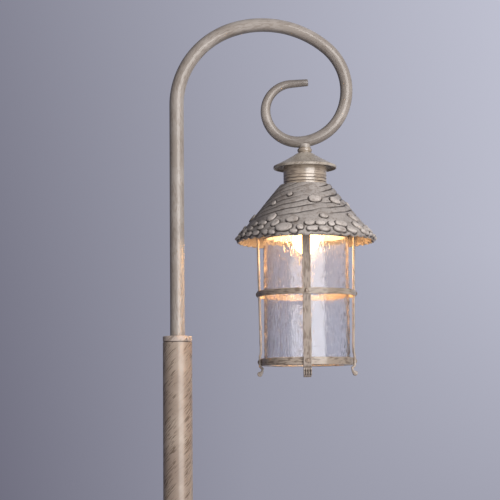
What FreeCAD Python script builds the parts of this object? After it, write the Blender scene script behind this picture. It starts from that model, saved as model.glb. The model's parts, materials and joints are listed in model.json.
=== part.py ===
"""Crook-armed garden lamp post with a hanging lantern: a cast foot, a tube post, a swivelling
crook arm and a riveted lantern with a stone-relief roof, a seeded glass and a screw-in bulb.
Millimetres; Z up from the ground on the post's axis, +X towards the lantern."""
import math
import os

import FreeCAD
import Part
import Sketcher

SIZES = (
    # cast foot
    ("base_diameter", 200.0, "across the flange that stands on the ground"),
    ("base_edge", 7.0, "height of the flange at its edge"),
    ("base_flange", 26.0, "width of the flange outside its step"),
    ("base_shoulder_low", 12.0, "height where the flange meets the step"),
    ("base_shoulder_high", 19.0, "height of the top of the step"),
    ("base_neck_diameter", 60.0, "across the neck round the post"),
    ("base_neck_low", 60.0, "height where the hollow sweep ends under the neck"),
    ("base_height", 72.0, "height of the whole foot"),
    ("base_sweep", 64.0, "radius of the hollow sweep outside"),
    ("base_cavity_sweep", 70.0, "radius of the hollow sweep inside"),
    ("base_wall", 5.0, "wall between the step and the space under the foot"),
    ("base_cavity_side", 15.0, "height of the straight side of that space"),
    ("base_hub_diameter", 52.0, "across the hub that carries the post"),
    ("base_hub_low", 24.0, "height of the hub's lower face"),
    ("base_hub_side", 48.0, "height where hub and sweep meet inside"),
    ("socket_floor", 34.0, "height of the floor of the post socket"),
    ("anchor_inset", 13.0, "anchor hole from the edge of the flange"),
    ("anchor_hole", 10.0, "anchor hole for an M8 bolt"),
    ("anchor_count", 4, "number of anchor holes"),
    ("anchor_bearing", 45.0, "degrees from +X to the first anchor hole"),
    # post and its foot fixing
    ("post_diameter", 38.0, "outside of the post tube"),
    ("post_wall", 1.5, "wall of the post tube"),
    ("post_top", 780.0, "height of the top of the post's cap ring"),
    ("cap_ring", 8.0, "height of the visible ring of the post top"),
    ("cap_groove", 0.8, "bevel that makes the dark line under the ring"),
    ("cap_spigot", 24.0, "length of the post top inside the tube"),
    ("slip_fit", 0.1, "gap between pieces that slide together for good"),
    ("foot_thread", 20.0, "outside of the threaded pipe through the foot"),
    ("foot_thread_bore", 13.0, "bore of that pipe, for the supply lead"),
    ("foot_thread_low", 9.0, "height of the lower end of that pipe"),
    ("foot_plug_height", 12.0, "threaded plug in the post's lower end"),
    ("foot_nut_across", 30.0, "across the flats of the foot nut"),
    ("foot_nut_height", 8.0, "height of the foot nut"),
    ("foot_washer_diameter", 37.0, "across the foot washer"),
    ("foot_washer_height", 2.0, "thickness of the foot washer"),
    # terminal block under the foot
    ("block_inset", 15.0, "block from the side of the space under the foot"),
    ("block_depth", 18.0, "block size along the radius"),
    ("block_width", 30.0, "block size across the radius"),
    ("block_low", 4.0, "height of the block's lower face"),
    ("block_height", 13.0, "height of the block"),
    ("block_pole_pitch", 13.0, "distance between the two poles, either side of the screw"),
    ("block_pole_bore", 4.2, "wire hole of a pole"),
    ("block_pole_drop", 3.25, "top of the block down to the wire holes"),
    ("block_screw", 4.0, "thread of the screw that holds the block"),
    ("block_screw_head", 7.2, "head of that screw"),
    ("block_screw_head_height", 2.4, "height of that head"),
    ("pillar_diameter", 10.0, "cast pillar that carries the block"),
    ("pillar_height", 14.0, "length of the pillar into the casting"),
    # crook arm
    ("arm_diameter", 19.0, "straight run of the arm"),
    ("arm_wall", 1.6, "wall of the arm where it is a tube"),
    ("arm_entry", 121.7, "length of the arm inside the post"),
    ("arm_running_gap", 0.06, "gap all round the arm where it turns"),
    ("arm_end_gap", 0.3, "gap under the arm and under the screw that clamps it"),
    ("seat_floor", 6.0, "floor of the cup that the arm stands in"),
    ("seat_depth", 22.0, "depth of that cup"),
    ("seat_bore", 12.0, "lead hole in the floor of the cup"),
    ("crook_start", 1084.0, "height where the arm begins to bend"),
    ("bend_one", 105.5, "radius of the shoulder"),
    ("bend_two", 130.0, "radius over the top"),
    ("bend_three", 75.5, "radius down the far side"),
    ("bend_four", 64.0, "radius into the curl, where the lantern hangs"),
    ("bend_five", 43.0, "radius of the curl's lower left"),
    ("bend_six", 36.0, "radius of the curl's upper left"),
    ("turn_one", 73.0, "degrees turned by the shoulder"),
    ("turn_two", 58.0, "degrees turned over the top"),
    ("turn_three", 74.0, "degrees turned down the far side"),
    ("turn_four", 62.0, "degrees turned into the curl"),
    ("turn_five", 83.0, "degrees turned at the lower left"),
    ("turn_six", 96.0, "degrees turned at the upper left"),
    ("curl_tail", 23.0, "straight end of the curl"),
    ("taper_one", 18.5, "diameter after the shoulder"),
    ("taper_two", 17.0, "diameter after the top"),
    ("taper_three", 15.8, "diameter after the far side"),
    ("taper_four", 15.0, "diameter under the curl"),
    ("taper_five", 13.2, "diameter at the left of the curl"),
    ("taper_six", 10.6, "diameter at the top of the curl"),
    ("taper_tip", 9.2, "diameter of the tip"),
    # screw that clamps the arm
    ("clamp_thread", 5.0, "thread of the clamp screw"),
    ("clamp_head", 7.2, "head of the clamp screw"),
    ("clamp_head_height", 2.2, "height of that head"),
    ("clamp_slot", 1.2, "slot in that head"),
    ("clamp_bearing", -39.0, "degrees from +X to the clamp screw"),
    # hanger
    ("hang_turn", 5.2, "degrees from the lantern's axis to the end of the fourth bend"),
    ("boss_lip", 0.05, "how far the boss reaches below the lowest line of the curl"),
    ("boss_diameter", 16.0, "across the boss welded under the curl"),
    ("boss_height", 4.4, "height of that boss"),
    ("thread_diameter", 9.9, "outside of the hollow threaded pipe"),
    ("thread_bore", 6.8, "bore of that pipe"),
    ("thread_fit", 0.05, "gap all round that pipe"),
    ("swivel_gap", 0.3, "gap between the boss and the bead under it"),
    ("thread_above", 3.8, "length of the pipe above the boss face"),
    # lantern, measured up from the bottom of its feet
    ("bead_height", 6.8, "height of the bead under the boss"),
    ("bead_neck", 16.0, "across the ends of the bead"),
    ("bead_round", 4.1, "radius of the bead's side"),
    ("hood_crown", 18.8, "across the flat top of the hood"),
    ("hood_diameter", 82.6, "across the hood's rolled rim"),
    ("hood_drop", 17.0, "hood crown down to the top of its rim"),
    ("hood_rim", 4.0, "height of the hood's rim"),
    ("hood_rim_roll", 1.6, "width of the roll at the rim"),
    ("hood_wall", 1.5, "sheet of the hood"),
    ("hood_sweep", 240.0, "radius of the hood's hollow side"),
    ("spacer_diameter", 14.0, "spacer tube under the hood"),
    ("spacer_height", 16.6, "height of that tube"),
    ("chimney_diameter", 56.6, "across the chimney"),
    ("chimney_wall", 1.5, "sheet of the chimney"),
    ("chimney_height", 25.0, "height of the chimney above the roof"),
    ("vent_circle", 36.0, "circle through the vents in the chimney's top"),
    ("vent_diameter", 9.0, "one vent"),
    ("vent_count", 6, "number of vents"),
    ("roof_height", 70.5, "rim edge up to the roof's flat top"),
    ("roof_top_diameter", 67.0, "across that flat top"),
    ("roof_diameter", 182.0, "across the roof's rim"),
    ("roof_edge", 178.5, "height where the cone ends at the rim"),
    ("roof_lip_height", 2.9, "how far the rim reaches below its edge"),
    ("roof_lip", 2.6, "how far the rim turns in"),
    ("roof_lip_round", 3.4, "radius of the rim's rounded edge"),
    ("roof_wall", 3.8, "level thickness of the cone"),
    ("roof_web", 4.0, "thickness of the flat top"),
    ("spigot_wall", 2.7, "wall of the collar that centres the chimney"),
    ("spigot_height", 4.0, "height of that collar"),
    ("lug_lift", 5.5, "rim edge up to the strap lugs"),
    ("lug_height", 16.0, "height of a strap lug"),
    ("lug_width", 14.0, "width of a strap lug"),
    ("bar_end_gap", 1.8, "gap between the bridge bar's ends and the roof"),
    ("bar_width", 16.0, "width of the bridge bar"),
    ("bar_thickness", 2.5, "thickness of the bridge bar"),
    ("bar_nut_across", 14.0, "across the flats of the nut under the bar"),
    ("bar_nut_height", 5.0, "height of that nut"),
    # lamp holder and bulb
    ("holder_neck_diameter", 17.0, "across the holder's neck"),
    ("holder_neck", 7.5, "height of the holder's neck"),
    ("holder_gap", 1.0, "gap between nut and neck"),
    ("holder_taper", 2.5, "neck down to the holder's shoulder"),
    ("holder_crown", 32.0, "across the holder's shoulder"),
    ("holder_bevel", 5.5, "shoulder down to the holder's side"),
    ("holder_skirt", 25.0, "height of the holder's side"),
    ("holder_wall", 4.7, "wall of the holder round its bore"),
    ("holder_roof", 6.0, "neck down to the floor of the bore"),
    ("shell_wall", 0.8, "sheet of the holder's screw shell"),
    ("shell_height", 24.0, "height of that shell"),
    ("shell_gap", 0.2, "gap between bore and shell"),
    ("contact_diameter", 12.0, "across the holder's contact"),
    ("contact_tip", 6.0, "across the contact's tip"),
    ("contact_sheet", 1.0, "thickness of the contact"),
    ("contact_height", 1.6, "height of contact and tip together"),
    ("contact_gap", 0.3, "gap between the contact and the bulb"),
    ("bulb_diameter", 35.0, "across the bulb's globe"),
    ("bulb_wall", 1.0, "glass of the bulb"),
    ("bulb_shoulder", 23.9, "degrees above level where globe and neck meet"),
    ("bulb_reach", 22.0, "cap down to the centre of the globe"),
    ("bulb_neck", 25.2, "across the neck at the cap"),
    ("bulb_neck_sweep", 40.0, "radius of the neck's hollow side"),
    ("bulb_cap_diameter", 26.4, "across the screw cap"),
    ("bulb_cap_height", 19.0, "height of the screw cap"),
    ("bulb_cap_gap", 0.6, "gap between the screw cap and the holder's shell"),
    ("bulb_insulator", 2.5, "height of the insulator over the cap"),
    ("bulb_contact_height", 2.6, "height of the contact over the insulator"),
    ("bulb_contact_diameter", 9.0, "across the bulb's contact"),
    # cage and glass
    ("strap_width", 10.6, "width of a strap"),
    ("strap_thickness", 3.0, "thickness of a strap"),
    ("strap_roof_gap", 4.6, "gap between a strap's upper end and the roof"),
    ("strap_lean", 2.9, "how far a strap leans in from the roof to the lower ring"),
    ("strap_above", 1.0, "strap end above its lug"),
    ("strap_bend", 1.5, "rim edge down to where a strap begins to lean in"),
    ("strap_joggle_gap", 2.6, "lower ring up to where a strap's step ends"),
    ("strap_joggle_rise", 5.0, "height of that step"),
    ("strap_joggle", 1.4, "how far a strap steps out over the lower ring"),
    ("foot_tuck", 3.2, "how far a strap steps back in under the lower ring"),
    ("foot_tuck_drop", 2.6, "height of that step"),
    ("foot_roll", 3.2, "radius of the roll at the end of the foot"),
    ("foot_kick", 2.1, "roll centre beyond the foot's outer face"),
    ("foot_flare_sweep", 2.5, "radius with which the foot turns out to the roll"),
    ("flute_end", 80.0, "degrees below level at which the flutes end on the roll"),
    ("flute_pitch", 3.1, "distance between the flutes"),
    ("flute_width", 1.8, "width of a flute"),
    ("flute_count", 3, "flutes on one foot"),
    ("screw_thread", 4.0, "thread of the screws that hold the straps"),
    ("screw_head", 7.2, "head of those screws"),
    ("screw_head_height", 2.4, "height of those heads"),
    ("screw_reach", 7.5, "length of thread in a lug"),
    ("rivet_shank", 3.1, "shank of a rivet"),
    ("rivet_head", 6.2, "head of a rivet"),
    ("rivet_dome", 1.6, "height of a rivet's dome"),
    ("rivet_tail", 5.2, "closed end of a rivet"),
    ("rivet_tail_height", 1.3, "height of that closed end"),
    ("ring_fit", 0.05, "gap between a ring and the straps"),
    ("ring_wall", 1.2, "thickness of the rings"),
    ("mid_ring_height", 106.5, "height of the middle ring's centre"),
    ("mid_ring_width", 7.6, "width of the middle ring"),
    ("low_ring_low", 13.8, "lower edge of the lower ring"),
    ("low_ring_width", 9.6, "width of the lower ring"),
    ("low_rivet_gap", 0.4, "gap between the lower rivets and the ledge"),
    ("ledge_lip", 1.0, "lower ring's ledge inside the seal"),
    ("ledge_thickness", 2.0, "thickness of that ledge"),
    ("seal_lip", 1.5, "seal inside the glass"),
    ("seal_wall", 1.1, "seal round the outside of the glass"),
    ("seal_floor", 1.3, "thickness of the seal's floor"),
    ("seal_height", 4.6, "height of the seal's wall"),
    ("glass_gap", 2.8, "gap between the glass and the straps"),
    ("glass_wall", 3.6, "wall of the glass"),
    ("glass_above", 4.0, "upper edge of the glass above the straps"),
    ("glass_fit", 0.15, "gap between glass and seal"),
)

doc = FreeCAD.newDocument("LampPost")
sheet = doc.addObject("Spreadsheet::Sheet", "Sizes")
for row, (alias, number, note) in enumerate(SIZES, start=1):
    sheet.set(f"A{row}", alias)
    sheet.set(f"B{row}", str(number))
    sheet.set(f"C{row}", note)
    sheet.setAlias(f"B{row}", alias)
doc.recompute()


class Size:
    """A dimension that carries its expression together with the number it has now."""

    def __init__(self, text, number):
        self.text = text
        self.number = number

    def joined(self, sign, other, number):
        return Size(f"({self.text} {sign} {other.text})", number)

    def __add__(self, other):
        other = plain(other)
        return self.joined("+", other, self.number + other.number)

    def __sub__(self, other):
        other = plain(other)
        return self.joined("-", other, self.number - other.number)

    def __mul__(self, other):
        other = plain(other)
        return self.joined("*", other, self.number * other.number)

    def __truediv__(self, other):
        other = plain(other)
        return self.joined("/", other, self.number / other.number)


def plain(value):
    return value if isinstance(value, Size) else Size(repr(value), float(value))


def sine(angle):
    return Size(f"sin({angle.text} * 1deg)", math.sin(math.radians(angle.number)))


def cosine(angle):
    return Size(f"cos({angle.text} * 1deg)", math.cos(math.radians(angle.number)))


def root(size):
    return Size(f"sqrt({size.text})", math.sqrt(size.number))


class Sheet:
    """Reads one size from the spreadsheet by its alias."""

    def __getattr__(self, alias):
        return Size(f"Sizes.{alias}", float(sheet.get(alias)))


size = Sheet()


def origin_part(body, role):
    return [part for part in body.Origin.OriginFeatures if part.Role == role][0]


def new_body(label, x=None, z=None, bearing=0.0):
    """An empty body, moved to x and z and turned about Z by a bearing in degrees."""
    body = doc.addObject("PartDesign::Body", label)
    body.Label = label
    body.Placement = FreeCAD.Placement(FreeCAD.Vector(), FreeCAD.Rotation(FreeCAD.Vector(0, 0, 1), bearing))
    if x is not None:
        body.setExpression("Placement.Base.x", x.text)
    if z is not None:
        body.setExpression("Placement.Base.z", z.text)
    return body


def new_sketch(body, role, label, lift=None):
    """A sketch on one of the body's own origin planes, lifted along its normal."""
    sketch = body.newObject("Sketcher::SketchObject", label)
    sketch.AttachmentSupport = [(origin_part(body, role), "")]
    sketch.MapMode = "FlatFace"
    if lift is not None:
        sketch.setExpression("AttachmentOffset.Base.z", lift.text)
    return sketch


def hold(sketch, kind, *what, to):
    """Adds a dimension to a sketch and ties it to a size."""
    index = sketch.addConstraint(Sketcher.Constraint(kind, *what, to.number))
    name = f"dim{index}"
    sketch.renameConstraint(index, name)
    sketch.setExpression(f"Constraints.{name}", to.text)


def place(sketch, shape, point, across, up):
    """Fixes one point of a sketch from the sketch's origin; None lies on the axis."""
    if across is None:
        sketch.addConstraint(Sketcher.Constraint("PointOnObject", shape, point, -2))
    else:
        hold(sketch, "DistanceX", -1, 1, shape, point, to=across)
    if up is None:
        sketch.addConstraint(Sketcher.Constraint("PointOnObject", shape, point, -1))
    else:
        hold(sketch, "DistanceY", -1, 1, shape, point, to=up)


def outline(sketch, corners, closed=True):
    """A run of lines and arcs, closed unless told otherwise. A corner is (across, up), or
    (across, up, radius, side) where the next edge is an arc whose centre lies left (1) or
    right (-1) of the run."""
    spots = []
    for corner in corners:
        across = 0.0 if corner[0] is None else corner[0].number
        up = 0.0 if corner[1] is None else corner[1].number
        spots.append(FreeCAD.Vector(across, up, 0))
    ends = []
    for index, corner in enumerate(corners if closed else corners[:-1]):
        start = spots[index]
        stop = spots[(index + 1) % len(spots)]
        if len(corner) == 2:
            shape = sketch.addGeometry(Part.LineSegment(start, stop), False)
            ends.append((shape, 1, 2))
            continue
        radius, side = corner[2], corner[3]
        run = stop - start
        left = FreeCAD.Vector(-run.y, run.x, 0).normalize()
        reach = math.sqrt(radius.number**2 - run.Length**2 / 4)
        centre = (start + stop) * 0.5 + left * (side * reach)
        first, last = (start, stop) if side > 0 else (stop, start)
        from_angle = math.atan2(first.y - centre.y, first.x - centre.x)
        to_angle = math.atan2(last.y - centre.y, last.x - centre.x)
        if to_angle <= from_angle:
            to_angle += 2 * math.pi
        circle = Part.Circle(centre, FreeCAD.Vector(0, 0, 1), radius.number)
        shape = sketch.addGeometry(Part.ArcOfCircle(circle, from_angle, to_angle), False)
        hold(sketch, "Radius", shape, to=radius)
        ends.append((shape, 1, 2) if side > 0 else (shape, 2, 1))
    for index, (shape, first, last) in enumerate(ends):
        place(sketch, shape, first, corners[index][0], corners[index][1])
        if closed or index + 1 < len(ends):
            following = ends[(index + 1) % len(ends)]
            sketch.addConstraint(Sketcher.Constraint("Coincident", shape, last, *following[:2]))
    if not closed:
        place(sketch, shape, last, corners[-1][0], corners[-1][1])


def circle(sketch, diameter, across=None, up=None):
    middle = FreeCAD.Vector(across.number if across else 0, up.number if up else 0, 0)
    shape = sketch.addGeometry(Part.Circle(middle, FreeCAD.Vector(0, 0, 1), diameter.number / 2), False)
    hold(sketch, "Diameter", shape, to=diameter)
    place(sketch, shape, 3, across, up)


def turned(label, corners, **where):
    """A body turned about its own Z axis from corners of (radius, height)."""
    body = new_body(label, **where)
    half = new_sketch(body, "XZ_Plane", f"{label}_half_section")
    outline(half, corners)
    turn = body.newObject("PartDesign::Revolution", f"{label}_turning")
    turn.Profile = half
    turn.ReferenceAxis = (half, ["V_Axis"])
    turn.Angle = 360
    body.Tip = turn
    return body


def padded(body, sketch, label, length, both_sides=False):
    pad = body.newObject("PartDesign::Pad", label)
    pad.Profile = sketch
    if both_sides:
        pad.Midplane = True
    pad.setExpression("Length", length.text)
    body.Tip = pad
    return pad


def cut(body, sketch, label, length, forward=True):
    """A pocket from a sketch; forward runs along the sketch's normal."""
    pocket = body.newObject("PartDesign::Pocket", label)
    pocket.Profile = sketch
    pocket.Reversed = forward
    pocket.setExpression("Length", length.text)
    body.Tip = pocket
    return pocket


def spread(body, features, label, count):
    """Repeats features evenly about the body's Z axis."""
    pattern = body.newObject("PartDesign::PolarPattern", label)
    pattern.Originals = features
    pattern.Axis = (origin_part(body, "Z_Axis"), [""])
    pattern.Angle = 360
    pattern.Occurrences = int(count.number)
    body.Tip = pattern
    return pattern


def radial_hole(body, label, diameter, height, reach):
    """A hole along the body's +X axis at one height."""
    sketch = new_sketch(body, "YZ_Plane", f"{label}_circle")
    circle(sketch, diameter, None, height)
    return cut(body, sketch, label, reach)


def hexagon_nut(label, across, bore, low, height, **where):
    body = new_body(label, **where)
    sketch = new_sketch(body, "XY_Plane", f"{label}_hexagon", low)
    half = across / 2
    side = across / math.sqrt(3)
    zero = plain(0.0)
    outline(
        sketch,
        [
            (side, None),
            (side / 2, half),
            (zero - side / 2, half),
            (zero - side, None),
            (zero - side / 2, zero - half),
            (side / 2, zero - half),
        ],
    )
    circle(sketch, bore)
    padded(body, sketch, f"{label}_pad", height)
    return body


# Values that several pieces share
post_radius = size.post_diameter / 2
post_bore = post_radius - size.post_wall
arm_radius = size.arm_diameter / 2
arm_hole = arm_radius + size.arm_running_gap
ring_floor = size.post_top - size.cap_ring
plug_radius = post_bore - size.slip_fit
arm_low = size.post_top - size.arm_entry
STRAPS = (("right", 0.0), ("back", 90.0), ("left", 180.0), ("front", 270.0))
strap_count = plain(len(STRAPS))

# Cast foot: a flange, a step, a hollow sweep up to the neck, and a hub for the post inside
base_radius = size.base_diameter / 2
step_radius = base_radius - size.base_flange
cavity_radius = step_radius - size.base_wall
base = turned(
    "base_casting",
    [
        (cavity_radius, None),
        (base_radius, None),
        (base_radius, size.base_edge),
        (step_radius, size.base_shoulder_low),
        (step_radius, size.base_shoulder_high, size.base_sweep, -1),
        (size.base_neck_diameter / 2, size.base_neck_low),
        (size.base_neck_diameter / 2, size.base_height),
        (post_radius + size.slip_fit, size.base_height),
        (post_radius + size.slip_fit, size.socket_floor),
        (size.foot_thread / 2 + size.slip_fit, size.socket_floor),
        (size.foot_thread / 2 + size.slip_fit, size.base_hub_low),
        (size.base_hub_diameter / 2, size.base_hub_low),
        (size.base_hub_diameter / 2, size.base_hub_side, size.base_cavity_sweep, 1),
        (cavity_radius, size.base_cavity_side),
    ],
)
block_high = size.block_low + size.block_height
block_x = size.block_inset + size.block_depth / 2 - cavity_radius
pillar = new_sketch(base, "XY_Plane", "pillar_circle", block_high)
circle(pillar, size.pillar_diameter, block_x)
padded(base, pillar, "pillar", size.pillar_height)
pillar_thread = new_sketch(base, "XY_Plane", "pillar_thread_circle", block_high)
circle(pillar_thread, size.block_screw + size.slip_fit * 2, block_x)
cut(base, pillar_thread, "pillar_thread", size.pillar_height - size.block_screw)
anchor = new_sketch(base, "XY_Plane", "anchor_circle")
anchor_radius = base_radius - size.anchor_inset
anchor_x = anchor_radius * cosine(size.anchor_bearing)
anchor_y = anchor_radius * sine(size.anchor_bearing)
circle(anchor, size.anchor_hole, anchor_x, anchor_y)
anchor_hole = cut(base, anchor, "anchor_hole", size.base_shoulder_high)
spread(base, [anchor_hole], "anchor_holes", size.anchor_count)

# Post: one tube from the socket floor up to the cap ring
post = turned(
    "post_tube",
    [
        (post_bore, size.socket_floor),
        (post_radius, size.socket_floor),
        (post_radius, ring_floor),
        (post_bore, ring_floor),
    ],
)

# Foot fixing: a plug in the tube and a threaded pipe pulled down by a washer and nut under the hub
thread_radius = size.foot_thread / 2
plug_top = size.socket_floor + size.foot_plug_height
foot_plug = turned(
    "post_foot_plug",
    [
        (thread_radius + size.slip_fit, size.socket_floor),
        (plug_radius, size.socket_floor),
        (plug_radius, plug_top),
        (thread_radius + size.slip_fit, plug_top),
    ],
)
foot_pipe = turned(
    "post_foot_pipe",
    [
        (size.foot_thread_bore / 2, size.foot_thread_low),
        (thread_radius, size.foot_thread_low),
        (thread_radius, plug_top),
        (size.foot_thread_bore / 2, plug_top),
    ],
)
washer_low = size.base_hub_low - size.foot_washer_height
foot_washer = turned(
    "post_foot_washer",
    [
        (thread_radius + size.slip_fit, washer_low),
        (size.foot_washer_diameter / 2, washer_low),
        (size.foot_washer_diameter / 2, size.base_hub_low),
        (thread_radius + size.slip_fit, size.base_hub_low),
    ],
)
foot_nut = hexagon_nut(
    "post_foot_nut",
    size.foot_nut_across,
    size.foot_thread + size.slip_fit * 2,
    washer_low - size.foot_nut_height,
    size.foot_nut_height,
)

# Terminal block for the supply lead, screwed up against its pillar
block = new_body("terminal_block", x=block_x)
block_plan = new_sketch(block, "XY_Plane", "block_plan", size.block_low)
outline(
    block_plan,
    [
        (plain(0.0) - size.block_depth / 2, plain(0.0) - size.block_width / 2),
        (size.block_depth / 2, plain(0.0) - size.block_width / 2),
        (size.block_depth / 2, size.block_width / 2),
        (plain(0.0) - size.block_depth / 2, size.block_width / 2),
    ],
)
circle(block_plan, size.block_screw + size.slip_fit * 2)
padded(block, block_plan, "block_moulding", size.block_height)
poles = new_sketch(block, "YZ_Plane", "block_pole_circles")
pole_height = block_high - size.block_pole_drop
pole_near = size.block_pole_pitch / 2
circle(poles, size.block_pole_bore, plain(0.0) - pole_near, pole_height)
circle(poles, size.block_pole_bore, pole_near, pole_height)
cut(block, poles, "block_pole_holes", size.block_depth)
cut(block, poles, "block_pole_holes_back", size.block_depth, forward=False)
block_screw = turned(
    "terminal_screw",
    [
        (None, size.block_low - size.block_screw_head_height),
        (size.block_screw_head / 2, size.block_low - size.block_screw_head_height),
        (size.block_screw_head / 2, size.block_low),
        (size.block_screw / 2, size.block_low),
        (size.block_screw / 2, block_high + size.pillar_height / 2),
        (None, block_high + size.pillar_height / 2),
    ],
    x=block_x,
)

# Post top: a ring flush with the post, on a spigot that guides the arm
top = turned(
    "post_top_plug",
    [
        (arm_hole, ring_floor - size.cap_spigot),
        (plug_radius, ring_floor - size.cap_spigot),
        (plug_radius, ring_floor),
        (post_radius - size.cap_groove, ring_floor),
        (post_radius, ring_floor + size.cap_groove),
        (post_radius, size.post_top - size.cap_groove),
        (post_radius - size.cap_groove, size.post_top),
        (arm_hole, size.post_top),
    ],
    bearing=size.clamp_bearing.number,
)
clamp_height = size.post_top - size.cap_ring / 2
radial_hole(top, "clamp_thread", size.clamp_thread + size.slip_fit * 2, clamp_height, size.post_diameter)

# Clamp screw: bears on the arm and holds the way it points
clamp_tip = arm_radius + size.arm_end_gap
clamp_face = post_radius + size.slip_fit
clamp = turned(
    "arm_clamp_screw",
    [
        (None, clamp_tip),
        (size.clamp_thread / 2, clamp_tip),
        (size.clamp_thread / 2, clamp_face),
        (size.clamp_head / 2, clamp_face),
        (size.clamp_head / 2, clamp_face + size.clamp_head_height / 2),
        (size.clamp_head / 2 - size.clamp_head_height / 2, clamp_face + size.clamp_head_height),
        (None, clamp_face + size.clamp_head_height),
    ],
)
slot = new_sketch(clamp, "XY_Plane", "clamp_slot_plan", clamp_face + size.clamp_head_height / 2)
outline(
    slot,
    [
        (plain(0.0) - size.clamp_head, plain(0.0) - size.clamp_slot / 2),
        (size.clamp_head, plain(0.0) - size.clamp_slot / 2),
        (size.clamp_head, size.clamp_slot / 2),
        (plain(0.0) - size.clamp_head, size.clamp_slot / 2),
    ],
)
cut(clamp, slot, "clamp_slot", size.clamp_head_height)
clamp_way = math.radians(size.clamp_bearing.number)
clamp.Placement.Rotation = FreeCAD.Rotation(
    FreeCAD.Vector(0, 0, 1), FreeCAD.Vector(math.cos(clamp_way), math.sin(clamp_way), 0)
)
clamp.setExpression("Placement.Base.z", clamp_height.text)

# Seat cup inside the post: carries the foot of the arm and keeps it upright
seat_low = arm_low - size.arm_end_gap - size.seat_floor
seat = turned(
    "arm_seat_cup",
    [
        (size.seat_bore / 2, seat_low),
        (plug_radius, seat_low),
        (plug_radius, arm_low + size.seat_depth),
        (arm_hole, arm_low + size.seat_depth),
        (arm_hole, arm_low - size.arm_end_gap),
        (size.seat_bore / 2, arm_low - size.arm_end_gap),
    ],
)

# Crook arm: a straight tube that runs into six tangent bends, tapering to the tip of the curl
BENDS = (
    (size.bend_one, size.turn_one, size.taper_one),
    (size.bend_two, size.turn_two, size.taper_two),
    (size.bend_three, size.turn_three, size.taper_three),
    (size.bend_four, size.turn_four, size.taper_four),
    (size.bend_five, size.turn_five, size.taper_five),
    (size.bend_six, size.turn_six, size.taper_six),
)
HANGING_BEND = 3
arm = new_body("crook_arm")
straight = new_sketch(arm, "XY_Plane", "arm_straight_circle", arm_low)
circle(straight, size.arm_diameter)
padded(arm, straight, "arm_straight", size.crook_start - arm_low)

path = new_sketch(arm, "XZ_Plane", "arm_path")
path.addGeometry(
    Part.LineSegment(
        FreeCAD.Vector(0, arm_low.number, 0), FreeCAD.Vector(0, size.crook_start.number, 0)
    ),
    False,
)
place(path, 0, 1, None, arm_low)
place(path, 0, 2, None, size.crook_start)
heading = plain(90)
spot = (plain(0.0), size.crook_start)
centres = []
headings = []
for number, (bend, turn, taper) in enumerate(BENDS, start=1):
    centre = (spot[0] + bend * sine(heading), spot[1] - bend * cosine(heading))
    centres.append(centre)
    far = math.radians(heading.number + 90)
    near = far - math.radians(turn.number)
    ring = Part.Circle(
        FreeCAD.Vector(centre[0].number, centre[1].number, 0), FreeCAD.Vector(0, 0, 1), bend.number
    )
    path.addGeometry(Part.ArcOfCircle(ring, near, far), False)
    path.addConstraint(Sketcher.Constraint("Tangent", number - 1, 2 if number == 1 else 1, number, 2))
    hold(path, "Radius", number, to=bend)
    angle = path.addConstraint(Sketcher.Constraint("Angle", number, math.radians(turn.number)))
    path.renameConstraint(angle, f"turn{number}")
    path.setExpression(f"Constraints.turn{number}", f"{turn.text} * 1deg")
    heading = heading - turn
    headings.append(heading)
    spot = (centre[0] - bend * sine(heading), centre[1] + bend * cosine(heading))
tail_end = (spot[0] + size.curl_tail * cosine(heading), spot[1] + size.curl_tail * sine(heading))
path.addGeometry(
    Part.LineSegment(
        FreeCAD.Vector(spot[0].number, spot[1].number, 0),
        FreeCAD.Vector(tail_end[0].number, tail_end[1].number, 0),
    ),
    False,
)
tail = len(BENDS) + 1
path.addConstraint(Sketcher.Constraint("Tangent", tail - 1, 1, tail, 1))
hold(path, "Distance", tail, to=size.curl_tail)
doc.recompute()


def section(label, edge, along, diameter):
    """A round section that stands square on one edge of the arm's path."""
    sketch = arm.newObject("Sketcher::SketchObject", label)
    sketch.AttachmentSupport = [(path, edge)]
    sketch.MapMode = "NormalToEdge"
    sketch.MapPathParameter = along
    circle(sketch, diameter)
    return sketch


def swept(kind, label, number, first, last):
    """One bend of the arm, swept between its two end sections."""
    pipe = arm.newObject(kind, label)
    pipe.Profile = first
    pipe.Spine = (path, [f"Edge{number + 1}"])
    pipe.Sections = [last]
    pipe.Transformation = "Multisection"
    arm.Tip = pipe
    doc.recompute()


diameters = [size.arm_diameter] + [taper for bend, turn, taper in BENDS] + [size.taper_tip]
sections = [section("arm_section_0", "Edge1", 1, diameters[0])]
for number in range(1, tail):
    sections.append(section(f"arm_section_{number}", f"Edge{number + 1}", 0, diameters[number]))
sections.append(section(f"arm_section_{tail}", f"Edge{tail + 1}", 1, diameters[tail]))
doc.recompute()
for number in range(1, tail + 1):
    swept("PartDesign::AdditivePipe", f"arm_bend_{number}", number, sections[number - 1], sections[number])

bore_circle = new_sketch(arm, "XY_Plane", "arm_bore_circle", arm_low)
circle(bore_circle, size.arm_diameter - size.arm_wall * 2)
cut(arm, bore_circle, "arm_bore", size.crook_start - arm_low)
bore_sections = [section("bore_section_0", "Edge1", 1, diameters[0] - size.arm_wall * 2)]
for number in range(1, HANGING_BEND + 2):
    bore = diameters[number] - size.arm_wall * 2
    bore_sections.append(section(f"bore_section_{number}", f"Edge{number + 1}", 0, bore))
doc.recompute()
for number in range(1, HANGING_BEND + 2):
    swept(
        "PartDesign::SubtractivePipe",
        f"arm_bore_bend_{number}",
        number,
        bore_sections[number - 1],
        bore_sections[number],
    )

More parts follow.
